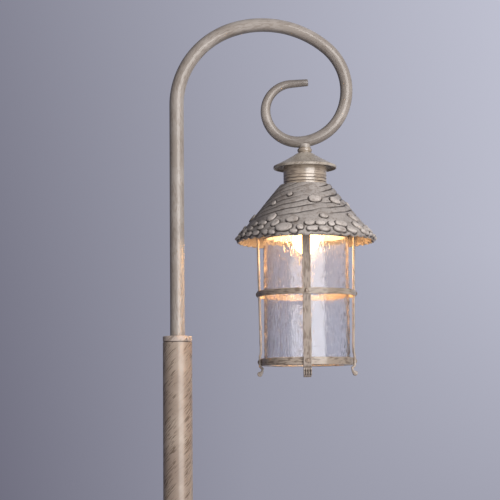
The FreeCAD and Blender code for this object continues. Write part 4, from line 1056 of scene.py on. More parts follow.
def roof_tree():
    """Cuts grain into the cone's outside, scallops its rim and marks the hollows and the underside
    for painted shade.
    """
    tree, given = new_tree(
        "weathered_cone",
        Stones="Object",
        Pitch="Float",
        Depth="Float",
        Climb="Float",
        Scallops="Float",
        Drop="Float",
        Paint="Material",
    )
    place = put(tree, "GeometryNodeInputPosition").outputs[0]
    centred = vectors(tree, "SUBTRACT", place, (hang.x, 0.0, roof_edge))
    axes = put(tree, "ShaderNodeSeparateXYZ", {0: centred}).outputs
    bearing = maths(tree, "ARCTAN2", axes[1], axes[0])
    normal = put(tree, "GeometryNodeInputNormal").outputs[0]
    flat = put(tree, "ShaderNodeCombineXYZ", {0: axes[0], 1: axes[1]}).outputs[0]
    facing = measured(tree, "DOT_PRODUCT", normal, vectors(tree, "NORMALIZE", flat))
    outside = step(tree, facing, 0.3, 0.6)
    upper = step(tree, axes[2], *GRAIN_HEIGHTS)
    warp = times(tree, noise(tree, place, 13.0, 2.0), 2.4)
    lift = maths(tree, "DIVIDE", axes[2], given["Pitch"])
    phase = maths(tree, "SUBTRACT", lift, times(tree, bearing, given["Climb"]))
    phase = maths(tree, "ADD", phase, warp)
    land = maths(tree, "PINGPONG", phase, 0.5)
    groove = rest_of(tree, step(tree, land, 0.03, 0.19))
    strength = step(tree, noise(tree, place, 20.0, 1.0), 0.34, 0.56)
    groove = times(tree, times(tree, times(tree, groove, strength), outside), upper)
    fine = maths(tree, "PINGPONG", times(tree, phase, 3.7), 0.5)
    fine = times(tree, rest_of(tree, step(tree, fine, 0.0, 0.22)), upper)
    rough = times(tree, maths(tree, "SUBTRACT", noise(tree, place, 70.0, 3.0), 0.5), CAST_ROUGH)
    rough = maths(tree, "SUBTRACT", rough, times(tree, fine, FINE_GRAIN))
    stone = put(tree, "GeometryNodeObjectInfo", {"Object": given["Stones"]}).outputs["Geometry"]
    near = put(tree, "GeometryNodeProximity", {0: stone}, target_element="FACES").outputs["Distance"]
    crevice = rest_of(tree, step(tree, near, *CREVICE_REACH))
    # Crevices and grain grooves, sunk and darkened as painted shade; painted shade also goes under the
    # roof.
    hollow = maths(tree, "MAXIMUM", times(tree, crevice, outside), groove)
    inside = step(tree, times(tree, facing, -1.0), 0.2, 0.5)
    dirt_and_shade = maths(tree, "MAXIMUM", hollow, times(tree, inside, UNDERSIDE_SHADE))
    sunk = times(tree, hollow, given["Depth"])
    relief = maths(tree, "SUBTRACT", times(tree, rough, outside), sunk)
    rim = rest_of(tree, step(tree, axes[2], *SCALLOP_HEIGHTS))
    wave = maths(tree, "ABSOLUTE", maths(tree, "SINE", times(tree, bearing, given["Scallops"])))
    uneven = span(tree, noise(tree, place, 26.0, 1.0), 0.4, 1.6)
    drop = times(tree, times(tree, wave, uneven), given["Drop"])
    edge_start, edge_full = [roof_radius - reach for reach in RIM_REACH]
    outer = step(tree, measured(tree, "LENGTH", flat), edge_start, edge_full)
    drop = times(tree, drop, times(tree, rim, outer))
    lowered = put(tree, "ShaderNodeCombineXYZ", {2: times(tree, drop, -1.0)}).outputs[0]
    offset = vectors(tree, "ADD", along_normal(tree, relief), lowered)
    inputs = {"Geometry": given["Mesh"], "Name": "hollow", "Value": dirt_and_shade}
    marked = put(tree, "GeometryNodeStoreNamedAttribute", inputs).outputs[0]
    tree_end(tree, moved(tree, marked, offset), given["Paint"])
    return tree


ROOF_WALL = 3.8 * mm
ROOF_WEB = 4.0 * mm
RIM_TURN = 2.6 * mm
RIM_ROUND = 3.4 * mm
ROOF_BORE = 24.0 * mm
COLLAR_OUT = 26.7 * mm
COLLAR_RISE = 4.0 * mm
collar_top = roof_top + COLLAR_RISE


def cone_radius(height):
    """Outside of the roof at a height."""
    return roof_radius + up_slope.x / up_slope.y * (height - roof_edge)


web_low = roof_top - ROOF_WEB
rim_inside = (cone_radius(roof_bottom) - ROOF_WALL - RIM_TURN, roof_bottom)
rim_edge = [(roof_radius - RIM_TURN, roof_bottom), (roof_radius, roof_edge)]
cone_profile = [
    (ROOF_BORE, web_low, 0),
    *run((cone_radius(web_low) - ROOF_WALL, web_low), rim_inside, 4 * mm),
    *bow(*rim_edge, RIM_ROUND, 5),
    *run((cone_radius(roof_edge + mm), roof_edge + mm), (ROOF_CROWN, roof_top), 0.9 * mm),
    (COLLAR_OUT, roof_top, 0),
    (COLLAR_OUT, collar_top, 0),
    (ROOF_BORE, collar_top, 0),
]
roof_paint = relief_paint("roof_paint", tint(166, 159, 154), tint(144, 137, 132))
cone_mesh = grown(
    "roof_cone",
    lathe("plain_cone", soft(cone_profile, 0), hang.x, 360),
    roof_tree(),
    Stones=roof_relief,
    Pitch=7.6 * mm,
    Depth=1.3 * mm,
    Climb=9 / (2 * math.pi),
    Scallops=21.0,
    Drop=2.2 * mm,
    Paint=roof_paint,
)
cone = piece_of(cone_mesh, roof_paint, None, 50)
fitted(cone, "lantern", "roof_casting", "lantern_roof")
lugs = bmesh.new()
LUG_RISE = 5.5 * mm
LUG_TALL = 16 * mm
LUG_HALF = 7 * mm
LUG_FACE = 64.3 * mm
lug_low = roof_edge + LUG_RISE
lug_high = lug_low + LUG_TALL
for quarter in range(4):
    turn = Matrix.Translation((hang.x, 0, 0)) @ Matrix.Rotation(math.pi / 2 * quarter, 4, "Z")
    sides = []
    for side in (-LUG_HALF, LUG_HALF):
        outline = [
            (LUG_FACE, lug_low),
            (cone_radius(lug_low) - ROOF_WALL / 2, lug_low),
            (cone_radius(lug_high) - ROOF_WALL / 2, lug_high),
            (LUG_FACE, lug_high),
        ]
        sides.append([lugs.verts.new(turn @ Vector((out, side, height))) for out, height in outline])
    near, far = sides
    lugs.faces.new(near)
    lugs.faces.new(tuple(reversed(far)))
    for index in range(4):
        after = (index + 1) % 4
        lugs.faces.new((near[after], near[index], far[index], far[after]))
bmesh.ops.recalc_face_normals(lugs, faces=lugs.faces)
bmesh.ops.bevel(lugs, geom=lugs.edges, offset=0.9 * mm, segments=3, profile=0.5, affect="EDGES")
lug_piece = piece_of(mesh_from("roof_lugs", lugs), roof_paint, None)
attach(lug_piece, "lantern")

# Bridge bar and nut: a flat bar of zinced steel across the underside of the roof, with the pipe through
# it, and the nut on the pipe that draws the bar up against the roof.
for piece_name, node in (("roof_bar", "bridge_bar"), ("roof_nut", "bridge_nut")):
    bridge_piece = piece_of(softened(piece_name, node, 0.4 * mm), zinced_steel)
    fitted(bridge_piece, "lantern", "plain_steel", node)

# Lamp holder: a body of glazed ceramic on the lower end of the pipe, with a brass screw shell and a brass
# contact inside it for the bulb.
glazed_ceramic = moulded("glazed_ceramic", tint(232, 228, 218), tint(218, 212, 200), 0.18, 0.30, coat=0.4)
contact_brass = plated("contact_brass", tint(201, 168, 96), tint(150, 118, 62), 0.26, 0.46)
holder = piece_of(softened("lamp_socket", "lamp_holder", 0.8 * mm), glazed_ceramic)
fitted(holder, "lantern", "holder_ceramic", "lamp_holder")
dressed(contact_brass, "holder_shell", "holder_contact")

# Reflector: a shallow cone spun from thin sheet and enamelled white, pushed up on the lamp holder. It
# fills the glass under the roof, and the lit bulb makes it the bright ceiling of the lantern.
reflector_enamel = moulded(
    "reflector_enamel", tint(240, 236, 226), tint(230, 225, 212), 0.30, 0.42, coat=0.5
)
holder_radius, holder_low = extent("lamp_holder")[:2]
REFLECTOR_RIM = 51.2 * mm
REFLECTOR_SHEET = 0.8 * mm
REFLECTOR_HEIGHT = 178.0 * mm
REFLECTOR_GRIP = 4.0 * mm
REFLECTOR_SWEEP = 90 * mm
REFLECTOR_BACK_SWEEP = 89 * mm
reflector_low = lantern_low + REFLECTOR_HEIGHT
reflector_high = holder_low + REFLECTOR_GRIP
reflector_neck = (holder_radius, reflector_high)
reflector_back = (holder_radius, reflector_high + REFLECTOR_SHEET)
reflector_edge = (REFLECTOR_RIM, reflector_low + REFLECTOR_SHEET)
reflector_profile = [
    *bow(reflector_neck, (REFLECTOR_RIM, reflector_low), -REFLECTOR_SWEEP, 10),
    *bow(reflector_edge, reflector_back, REFLECTOR_BACK_SWEEP, 10),
]
reflector_mesh = lathe("lamp_reflector", soft(reflector_profile, 0), hang.x, 128)
reflector = piece_of(reflector_mesh, reflector_enamel, None)
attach(reflector, "lantern")

# Straps: four flat iron bars, screwed to the lugs, that lean in to the waist, step out over the lower
# ring, tuck in under it and turn out to a fluted roll. Their edges are worn round under the paint.
STRAP_WIDTH = 10.6 * mm
STRAP_THICK = 3.0 * mm
EDGE_ROUND = 0.7 * mm
STRAP_LEAN = 2.9 * mm
STRAP_BEND = 3.0 * mm
strap_low, strap_high = extent("strap_right")[1:]
STRAP_HEAD = 64.249 * mm
HIP_STEP = 1.4 * mm
ANKLE_STEP = 3.2 * mm
BEND_DROP = 1.5 * mm
waist = STRAP_HEAD - STRAP_LEAN
hip = waist + HIP_STEP
ankle = hip - ANKLE_STEP
bend_high = roof_edge - BEND_DROP
low_radius, ring_low, ring_high = extent("low_ring")
JOGGLE_GAP = 2.6 * mm
JOGGLE_TALL = 5.0 * mm
TUCK_DROP = 2.6 * mm
TUCK_OUTSIDE = 1.55 * mm
TUCK_INSIDE = 0.05 * mm
joggle_low = ring_high + JOGGLE_GAP
joggle_high = joggle_low + JOGGLE_TALL
tuck_outer = ring_low - TUCK_OUTSIDE
tuck_inner = ring_low - TUCK_INSIDE
FOOT_ROLL = 3.2 * mm
FOOT_SWEEP = 2.5 * mm
BACK_SWEEP = 20.78 * mm
ROLL_OUT = 2.1 * mm
roll_x = ankle + ROLL_OUT
roll_z = strap_low + FOOT_ROLL
sweep_x = ankle + FOOT_SWEEP
flare = math.acos((sweep_x - roll_x) / (FOOT_SWEEP + FOOT_ROLL))
sweep_z = roll_z + (FOOT_SWEEP + FOOT_ROLL) * math.sin(flare)
ROLL_BACK = math.radians(207)
FLUTES = (-3.1 * mm, 0.0, 3.1 * mm)
FLUTE_HALF = 0.95 * mm
FLUTE_DEPTH = 0.8 * mm
FLUTE_SHADE_DEPTH = 0.7 * mm
FLUTE_FADE = 3 * mm
FLUTE_ROWS = 4
FLUTE_LIMIT = 0.9
THINNEST = 0.2 * mm
flute_start = tuck_outer - TUCK_DROP
ACROSS = 33
INNER_SPLITS = 6
ROLL_STEPS = 12
ROLL_SHARE = 0.97


def bar_line(corners, steps=6):
    """Rounds the bends of one side of a strap, with as many points for each bend."""
    points = [Vector(corners[0])]
    for before, corner, after in zip(corners, corners[1:], corners[2:]):
        points += rounded(before, corner, after, STRAP_BEND, steps)
    points.append(Vector(corners[-1]))
    return points


def roll_spot(turn):
    """A point on the roll of a foot."""
    return Vector((roll_x + FOOT_ROLL * math.cos(turn), roll_z + FOOT_ROLL * math.sin(turn)))


def strap_sides():
    """Pairs of points on the outer and the inner side of a strap, from its upper end to its roll."""
    out = (STRAP_HEAD, STRAP_HEAD, waist, hip, hip, ankle)
    down = (strap_high, bend_high, joggle_high, joggle_low)
    back_start = (ankle - STRAP_THICK, tuck_inner - TUCK_DROP)
    back = [Vector(point[:2]) for point in bow(back_start, roll_spot(ROLL_BACK), BACK_SWEEP, 9)]
    outer_down = (*down, tuck_outer, tuck_outer - TUCK_DROP)
    inner_down = (*down, tuck_inner, tuck_inner - TUCK_DROP)
    outer = bar_line([*zip(out, outer_down), (ankle, sweep_z)])
    inner = bar_line([*[(x - STRAP_THICK, z) for x, z in zip(out, inner_down)], back[1]])
    outer += [Vector(point[:2]) for point in bow((ankle, sweep_z), roll_spot(flare), FOOT_SWEEP, 8)][1:]
    inner += back[2:]
    for number in range(1, ROLL_STEPS + 1):
        share = number / ROLL_STEPS * ROLL_SHARE
        outer.append(roll_spot(flare - (flare + math.pi / 2) * share))
        inner.append(roll_spot(ROLL_BACK + (1.5 * math.pi - ROLL_BACK) * share))
    return list(zip(outer, inner))


def strap_section():
    """Points round a strap's section: place across it and depth from its face, from 0 to 1."""
    half = STRAP_WIDTH / 2
    flat = half - EDGE_ROUND
    section = []
    for number in range(ACROSS):
        section.append((-flat + 2 * flat * number / (ACROSS - 1), 0.0))
    worn = EDGE_ROUND / STRAP_THICK
    corner = [math.radians(turn) for turn in (22.5, 45, 67.5, 90)]
    for turn in corner:
        section.append((flat + EDGE_ROUND * math.sin(turn), worn * (1 - math.cos(turn))))
    for turn in corner:
        section.append((flat + EDGE_ROUND * math.cos(turn), 1 - worn * (1 - math.sin(turn))))
    for number in range(1, INNER_SPLITS):
        section.append((flat - 2 * flat * number / INNER_SPLITS, 1.0))
    for turn in reversed(corner):
        section.append((-flat - EDGE_ROUND * math.cos(turn), 1 - worn * (1 - math.sin(turn))))
    for turn in reversed(corner[:-1]):
        section.append((-flat - EDGE_ROUND * math.sin(turn), worn * (1 - math.cos(turn))))
    return section


def flute_cut(across):
    """How deep the flutes are at a place across a strap's face."""
    cut = 0.0
    for flute in FLUTES:
        inside = 1 - ((across - flute) / FLUTE_HALF) ** 2
        if inside > 0:
            cut = FLUTE_DEPTH * math.sqrt(inside)
    return cut


def strap(name, bearing):
    """A strap that stands at a bearing from +X round the lantern."""
    sides = strap_sides()
    section = strap_section()
    points, marks, shares = [], [], []
    along = 0.0
    for index, (outer, inner) in enumerate(sides):
        if index:
            along += (outer - sides[index - 1][0]).length
        deep = max((outer - inner).length, THINNEST)
        fading = held((flute_start - outer.y) / FLUTE_FADE)
        ending = held((len(sides) - 1 - index) / FLUTE_ROWS)
        for across, depth in section:
            cut = fading * flute_cut(across) if depth == 0.0 else 0.0
            share = min(FLUTE_LIMIT, cut * ending / deep) if cut else depth
            spot = outer.lerp(inner, share)
            x = spot.x * math.cos(bearing) - across * math.sin(bearing)
            y = spot.x * math.sin(bearing) + across * math.cos(bearing)
            points.append((hang.x + x, y, spot.y))
            marks.append((across, spot.x + bearing, along * ALONG))
            # The flutes darkened by their depth as painted shade.
            shares.append(held(cut / FLUTE_SHADE_DEPTH))
    return skinned(name, points, marks, shares, len(section))


strap_paint = antique_paint(
    "strap_paint", tint(160, 148, 138), tint(141, 128, 117), strokes=560.0, glaze=0.6, gloss=0.5
)
for quarter, side in enumerate(("right", "back", "left", "front")):
    bar_piece = piece_of(strap(f"cage_bar_{side}", math.pi / 2 * quarter), strap_paint, None)
    fitted(bar_piece, "lantern", "lantern_paint", f"strap_{side}")

# Rings: two bands rolled from flat iron bar and painted like the straps. The middle one goes round the
# straps; the lower one lies inside them and has a ledge for the glass.
ring_paint = antique_paint(
    "ring_paint", tint(166, 153, 140), tint(142, 129, 116), strokes=560.0, glaze=0.7, gloss=0.5
)
mid_radius, mid_low, mid_high = extent("mid_ring")
BAND = 1.2 * mm
band_profile = [
    (mid_radius - BAND, mid_low),
    (mid_radius, mid_low),
    (mid_radius, mid_high),
    (mid_radius - BAND, mid_high),
]
mid_mesh = lathe("middle_ring", soft(band_profile, 0.5 * mm), hang.x, 160)
mid_band = piece_of(mid_mesh, ring_paint, level_strokes)
fitted(mid_band, "lantern", "lantern_paint", "mid_ring")
LEDGE_RADIUS = 49.449 * mm
LEDGE_THICK = 2.0 * mm
ledge_top = ring_low + LEDGE_THICK
low_profile = [
    (LEDGE_RADIUS, ring_low),
    (low_radius, ring_low),
    (low_radius, ring_high),
    (low_radius - BAND, ring_high),
    (low_radius - BAND, ledge_top, 0),
    (LEDGE_RADIUS, ledge_top),
]
low_mesh = lathe("lower_ring", soft(low_profile, 0.5 * mm), hang.x, 160)
low_band = piece_of(low_mesh, ring_paint, level_strokes)
fitted(low_band, "lantern", "lantern_paint", "low_ring")

# Rivets and screws: four hammered rivets through each ring and its straps, painted over, and four steel
# screws through the heads of the straps into the lugs of the roof.
POINT_CIRCLE = 0.0001 * mm


def fastener_tree():
    """Sets like fasteners evenly round an upright axis, each pointing outwards."""
    tree, given = new_tree(
        "ring_of_fasteners",
        Fastener="Object",
        Count="Int",
        Axis="Float",
        Height="Float",
        Dent="Float",
        Paint="Material",
    )
    inputs = {"Vertices": given["Count"], "Radius": POINT_CIRCLE}
    circle = put(tree, "GeometryNodeMeshCircle", inputs).outputs[0]
    index = put(tree, "GeometryNodeInputIndex").outputs[0]
    turn = maths(tree, "DIVIDE", times(tree, index, 2 * math.pi), given["Count"])
    euler = put(tree, "ShaderNodeCombineXYZ", {2: turn}).outputs[0]
    rotation = put(tree, "FunctionNodeEulerToRotation", {0: euler}).outputs[0]
    one = put(tree, "GeometryNodeObjectInfo", {"Object": given["Fastener"]}).outputs["Geometry"]
    inputs = {"Points": circle, "Instance": one, "Rotation": rotation}
    ring = put(tree, "GeometryNodeInstanceOnPoints", inputs).outputs[0]
    place = put(tree, "GeometryNodeInputPosition").outputs[0]
    dent = times(tree, maths(tree, "SUBTRACT", noise(tree, place, 420.0, 1.0), 0.5), given["Dent"])
    centre = put(tree, "ShaderNodeCombineXYZ", {0: given["Axis"], 2: given["Height"]}).outputs[0]
    offset = vectors(tree, "ADD", along_normal(tree, dent), centre)
    tree_end(tree, moved(tree, real(tree, ring), offset), given["Paint"])
    return tree


def fastener(name, profile, around=28):
    """One fastener along +X, turned from a profile of (radius, place along it)."""
    mesh = lathe(name, profile, 0.0, around)
    mesh.transform(Matrix.Rotation(math.pi / 2, 4, "Y"))
    return placed(name, mesh)


RIVET_HEAD = 3.1 * mm
RIVET_DOME = 1.6 * mm
DOME_RADIUS = 3.81 * mm
RIVET_SHANK = 1.55 * mm
RIVET_TAIL = 2.6 * mm
TAIL_THICK = 1.3 * mm
RIVET_PLAY = 0.1 * mm
RIVET_PROUD = 0.02 * mm
HAMMERED = 0.9 * mm


def rivet_profile(back, face):
    """Closed tail, shank and domed head, from the face behind to the face in front."""
    corners = [
        (0.0, back - TAIL_THICK, 0),
        (RIVET_TAIL, back - TAIL_THICK),
        (RIVET_TAIL, back, 0),
        (RIVET_SHANK, back, 0),
        (RIVET_SHANK, face, 0),
        *bow((RIVET_HEAD, face), (0.0, face + RIVET_DOME), DOME_RADIUS, 7),
    ]
    return soft(corners, 0.4 * mm)


fastened = fastener_tree()
blank = bpy.data.meshes.new("no_mesh")


def ring_of(name, node, one, height, material, slot, dent):
    """Four like fasteners as one piece."""
    mesh = grown(
        name, blank, fastened, Fastener=one, Count=4, Axis=hang.x, Height=height, Dent=dent, Paint=material
    )
    bpy.data.objects.remove(one)
    made = piece_of(mesh, material)
    fitted(made, "lantern", slot, node)


rivet_paint = antique_paint(
    "rivet_paint", tint(172, 156, 140), tint(136, 120, 106), strokes=560.0, glaze=0.9, gloss=0.6
)
mid_height = (mid_low + mid_high) / 2
mid_face = waist + STRAP_LEAN * (mid_height - joggle_high) / (bend_high - joggle_high)
mid_back = mid_face - STRAP_THICK - RIVET_PLAY
mid_rivet = fastener("mid_rivet", rivet_profile(mid_back, mid_radius + RIVET_PROUD))
ring_of("mid_ring_rivets", "mid_rivets", mid_rivet, mid_height, rivet_paint, "rivet_metal", HAMMERED)
low_height = sum(extent("low_rivets")[1:]) / 2
low_rivet = fastener("low_rivet", rivet_profile(low_radius - BAND - RIVET_PLAY, hip + RIVET_PROUD))
ring_of("low_ring_rivets", "low_rivets", low_rivet, low_height, rivet_paint, "rivet_metal", HAMMERED)
screw_face = STRAP_HEAD - STRAP_THICK
SCREW_REACH = 7.5 * mm
SCREW_TALL = 2.4 * mm
SCREW_SIDE = 1.2 * mm
SCREW_HEAD = 3.6 * mm
SCREW_CROWN = 2.7 * mm
SCREW_SHANK = 2.0 * mm
RECESS_FLOOR = 1.4 * mm
RECESS_RADIUS = 1.3 * mm
RECESS_MOUTH = 1.6 * mm
screw_end = LUG_FACE + SCREW_REACH
screw_top = screw_face - SCREW_TALL
screw_edge = screw_face - SCREW_SIDE
recess_floor = screw_face - RECESS_FLOOR
screw_corners = [
    (0.0, recess_floor, 0),
    (RECESS_RADIUS, recess_floor, 0),
    (RECESS_MOUTH, screw_top),
    (SCREW_CROWN, screw_top),
    (SCREW_HEAD, screw_edge),
    (SCREW_HEAD, screw_face, 0),
    (SCREW_SHANK, screw_face, 0),
    (SCREW_SHANK, screw_end),
    (0.0, screw_end, 0),
]
screw_height = (lug_low + lug_high) / 2
strap_screw = fastener("strap_screw", soft(screw_corners, 0.3 * mm))
ring_of("strap_fixing_screws", "strap_screws", strap_screw, screw_height, zinced_steel, "plain_steel", 0.0)

# Glass seal: a channel of soft grey rubber, laid on the ledge of the lower ring. The glass stands in it
# and doesn't touch the metal.
seal_rubber = moulded("seal_rubber", tint(96, 94, 92), tint(72, 70, 68), 0.62, 0.80)
seal_radius, seal_low, seal_high = extent("glass_seal")
glass_radius, glass_low, glass_high = extent("glass_cylinder")
GLASS_WALL = 3.6 * mm
SEAL_LIP = 1.5 * mm
SEAL_PLAY = 0.15 * mm
glass_bore = glass_radius - GLASS_WALL
seal_bore = glass_bore - SEAL_LIP
seal_groove = glass_radius + SEAL_PLAY
seal_profile = [
    (seal_bore, seal_low),
    (seal_radius, seal_low),
    (seal_radius, seal_high),
    (seal_groove, seal_high),
    (seal_groove, glass_low, 0),
    (seal_bore, glass_low),
]
seal = piece_of(lathe("rubber_seal", soft(seal_profile, 0.5 * mm), hang.x, 128), seal_rubber)
fitted(seal, "lantern", "seal_rubber", "glass_seal")

# Glass: a thick blown tube of clear seeded glass, with runs and drawn-out bubbles down its outside. It
# stands in the seal, open at both ends, inside the straps.


def glass_tree():
    """Raises drawn-out seeds, each in a cell of its own, and slow waves on the outside of the tube."""
    tree, given = new_tree(
        "seeded_tube",
        Axis="Float",
        Radius="Float",
        Wide="Float",
        Long="Float",
        Seeds="Float",
        Wave="Float",
        Glass="Material",
    )
    place = put(tree, "GeometryNodeInputPosition").outputs[0]
    centre = put(tree, "ShaderNodeCombineXYZ", {0: given["Axis"]}).outputs[0]
    centred = vectors(tree, "SUBTRACT", place, centre)
    normal = put(tree, "GeometryNodeInputNormal").outputs[0]
    outward = vectors(tree, "NORMALIZE", vectors(tree, "MULTIPLY", centred, (1.0, 1.0, 0.0)))
    facing = measured(tree, "DOT_PRODUCT", normal, outward)
    outside = step(tree, facing, 0.6, 0.95)
    axes = put(tree, "ShaderNodeSeparateXYZ", {0: centred}).outputs
    bearing = maths(tree, "ARCTAN2", axes[0], times(tree, axes[1], -1.0))
    across = maths(tree, "DIVIDE", times(tree, bearing, given["Radius"]), given["Wide"])
    along = maths(tree, "DIVIDE", axes[2], given["Long"])
    unrolled = put(tree, "ShaderNodeCombineXYZ", {0: across, 1: along}).outputs[0]
    inputs = {"Vector": unrolled, "Scale": 1.0}
    cells = put(tree, "ShaderNodeTexVoronoi", inputs, voronoi_dimensions="2D").outputs
    seed = rest_of(tree, step(tree, cells["Distance"], 0.08, 0.30))
    chance = put(tree, "ShaderNodeSeparateXYZ", {0: cells["Color"]}).outputs[0]
    seed = times(tree, seed, step(tree, chance, 0.4, 0.9))
    slow = maths(tree, "SUBTRACT", noise(tree, centred, 30.0, 1.0), 0.5)
    waves = times(tree, slow, given["Wave"])
    relief = maths(tree, "ADD", times(tree, seed, given["Seeds"]), waves)
    offset = along_normal(tree, times(tree, relief, outside))
    tree_end(tree, moved(tree, given["Mesh"], offset), given["Glass"])
    return tree


def let_through(tree, shader, share, colour):
    """Mixes so large a share of plain see-through into a finish."""
    clear = put(tree, "ShaderNodeBsdfTransparent", {"Color": colour}).outputs[0]
    both = put(tree, "ShaderNodeMixShader", {0: share, 1: shader.outputs[0], 2: clear}).outputs[0]
    tree.links.new(both, tree.nodes["Material Output"].inputs["Surface"])


def clear_glass(name, colour, rough, relief):
    """Clear glass with drawn-out seeds in its skin, fewer on its right, that lets the bulb's light out."""
    material, tree, shader, place = new_material(name)
    shader.inputs["Base Color"].default_value = colour
    shader.inputs["IOR"].default_value = 1.45
    drawn = put(tree, "ShaderNodeMapping", {"Vector": place, "Scale": (1.0, 1.0, 0.22)}).outputs[0]
    fine = noise(tree, drawn, 520.0, 1.0)
    tree.links.new(span(tree, fine, rough, rough + 0.03), shader.inputs["Roughness"])
    centred = vectors(tree, "SUBTRACT", place, (hang.x, 0.0, 0.0))
    out = measured(tree, "LENGTH", vectors(tree, "MULTIPLY", centred, (1.0, 1.0, 0.0)))
    skin = step(tree, out, glass_radius - 0.7 * GLASS_WALL, glass_radius - 0.3 * GLASS_WALL)
    across = put(tree, "ShaderNodeSeparateXYZ", {0: centred}).outputs[0]
    clear = step(tree, across, -4 * mm, 8 * mm)
    bubble = times(tree, step(tree, fine, 0.59, 0.67), span(tree, clear, 1.0, 0.35))
    tree.links.new(span(tree, bubble, 0.998, 0.95), shader.inputs["Transmission Weight"])
    seeds = times(tree, bubble, skin)
    embossed(tree, shader, seeds, relief, 0.75 * mm)
    ray = put(tree, "ShaderNodeLightPath").outputs
    passes = maths(tree, "MAXIMUM", ray["Is Shadow Ray"], ray["Is Diffuse Ray"])
    let_through(tree, shader, passes, colour)
    return material


seeded_glass = clear_glass("seeded_glass", tint(250, 250, 252), 0.0, 0.6)
glass_profile = [
    (glass_bore, glass_high),
    (glass_bore, glass_low),
    (glass_radius, glass_low),
    *run((glass_radius, glass_low + 2 * mm), (glass_radius, glass_high - 2 * mm), 1.7 * mm),
    (glass_radius, glass_high),
]
glass_mesh = grown(
    "seeded_glass_tube",
    lathe("plain_tube", soft(glass_profile, 0.9 * mm), hang.x, 720),
    glass_tree(),
    Axis=hang.x,
    Radius=glass_radius,
    Wide=2.6 * mm,
    Long=8.0 * mm,
    Seeds=0.4 * mm,
    Wave=0.08 * mm,
    Glass=seeded_glass,
)
glass = piece_of(glass_mesh, seeded_glass, None)
fitted(glass, "lantern", "seeded_glass", "glass_cylinder")

# Bulb: a frosted glass globe, lit, cemented into a threaded aluminium cap with a brass contact on its end.
# It unscrews from the holder and comes out below.
bulb_radius, bulb_low, bulb_high = extent("bulb_globe")
globe_centre = bulb_low + bulb_radius
SHOULDER = math.radians(23.9)
BULB_NECK = 12.6 * mm
NECK_SWEEP = 40 * mm
GLOW = tint(255, 196, 124)
GLOW_STRENGTH = 205.0


def lit_glass(name):
    """Frosted bulb glass, bright all over, a little dimmer towards the cap."""
    material, tree, shader, place = new_material(name)
    frost = noise(tree, place, 900.0, 2.0)
    shader.inputs["Base Color"].default_value = tint(250, 244, 232)
    shader.inputs["Emission Color"].default_value = GLOW
    tree.links.new(span(tree, frost, 0.35, 0.5), shader.inputs["Roughness"])
    height = put(tree, "ShaderNodeSeparateXYZ", {0: place}).outputs[2]
    heights = {"Value": height, "From Min": globe_centre, "From Max": bulb_high}
    glows = {"To Min": GLOW_STRENGTH, "To Max": GLOW_STRENGTH / 3}
    dim = put(tree, "ShaderNodeMapRange", {**heights, **glows}).outputs[0]
    tree.links.new(dim, shader.inputs["Emission Strength"])
    return material


bulb_glass = lit_glass("lit_bulb_glass")
shoulder = (bulb_radius * math.cos(SHOULDER), globe_centre + bulb_radius * math.sin(SHOULDER))
globe_profile = [
    *bow((0.0, bulb_low), shoulder, bulb_radius, 22),
    *bow(shoulder, (BULB_NECK, bulb_high), -NECK_SWEEP, 10)[1:],
    (0.0, bulb_high, 0),
]
globe = piece_of(lathe("bulb_glass_globe", soft(globe_profile, 0), hang.x, 72), bulb_glass, None)
fitted(globe, "bulb", "bulb_glass", "bulb_globe")

cap_metal = plated("cap_aluminium", tint(196, 192, 182), tint(160, 154, 142), 0.22, 0.40)
cap_radius, cap_low, cap_high = extent("bulb_screw_cap")
THREAD_PITCH = 3.6 * mm
THREAD_DEPTH = 1.1 * mm
THREAD_FADE = 2.5 * mm
CAP_END = 4.5 * mm
SIDE_MARGIN = 0.01 * mm
thread_top = cap_high - THREAD_FADE
cap_profile = [
    (0.0, cap_low, 0),
    *run((cap_radius, cap_low), (cap_radius, thread_top), 0.4 * mm),
    (CAP_END, cap_high, 0),
    (0.0, cap_high, 0),
]
cap_mesh = lathe("screw_cap", soft(cap_profile, 0), hang.x, 64)
for vertex in cap_mesh.vertices:
    spoke = Vector((vertex.co.x - hang.x, vertex.co.y))
    inside = min(vertex.co.z - cap_low, thread_top - vertex.co.z) / THREAD_FADE
    if spoke.length > cap_radius - SIDE_MARGIN and inside > 0:
        phase = vertex.co.z / THREAD_PITCH * 2 * math.pi - math.atan2(spoke.y, spoke.x)
        cut = THREAD_DEPTH * min(1.0, inside) * (0.5 - 0.5 * math.cos(phase))
        shorter = spoke * (1 - cut / spoke.length)
        vertex.co.x, vertex.co.y = hang.x + shorter.x, shorter.y
cap = piece_of(cap_mesh, cap_metal, None, 60)
fitted(cap, "bulb", "bulb_cap_metal", "bulb_screw_cap")
dressed(contact_brass, "bulb_contact")

# Studio: a pale floor that fades out, a lavender backdrop that is lighter to the right, a tall soft lamp
# at the front right and a smaller, weaker one behind the lantern.
FLOOR_RADIUS = 3.2
floor_shape = bmesh.new()
bmesh.ops.create_circle(floor_shape, cap_ends=True, segments=128, radius=FLOOR_RADIUS)
floor_mesh = mesh_from("studio_floor", floor_shape)
pale_floor, tree, shader, place = new_material("pale_floor")
shader.inputs["Base Color"].default_value = tint(198, 197, 204)
shader.inputs["Roughness"].default_value = 0.7
fade = step(tree, measured(tree, "LENGTH", place), FLOOR_RADIUS * 0.35, FLOOR_RADIUS * 0.98)
let_through(tree, shader, fade, (1.0, 1.0, 1.0, 1.0))
floor_mesh.materials.append(pale_floor)
floor = placed("studio_floor", floor_mesh)

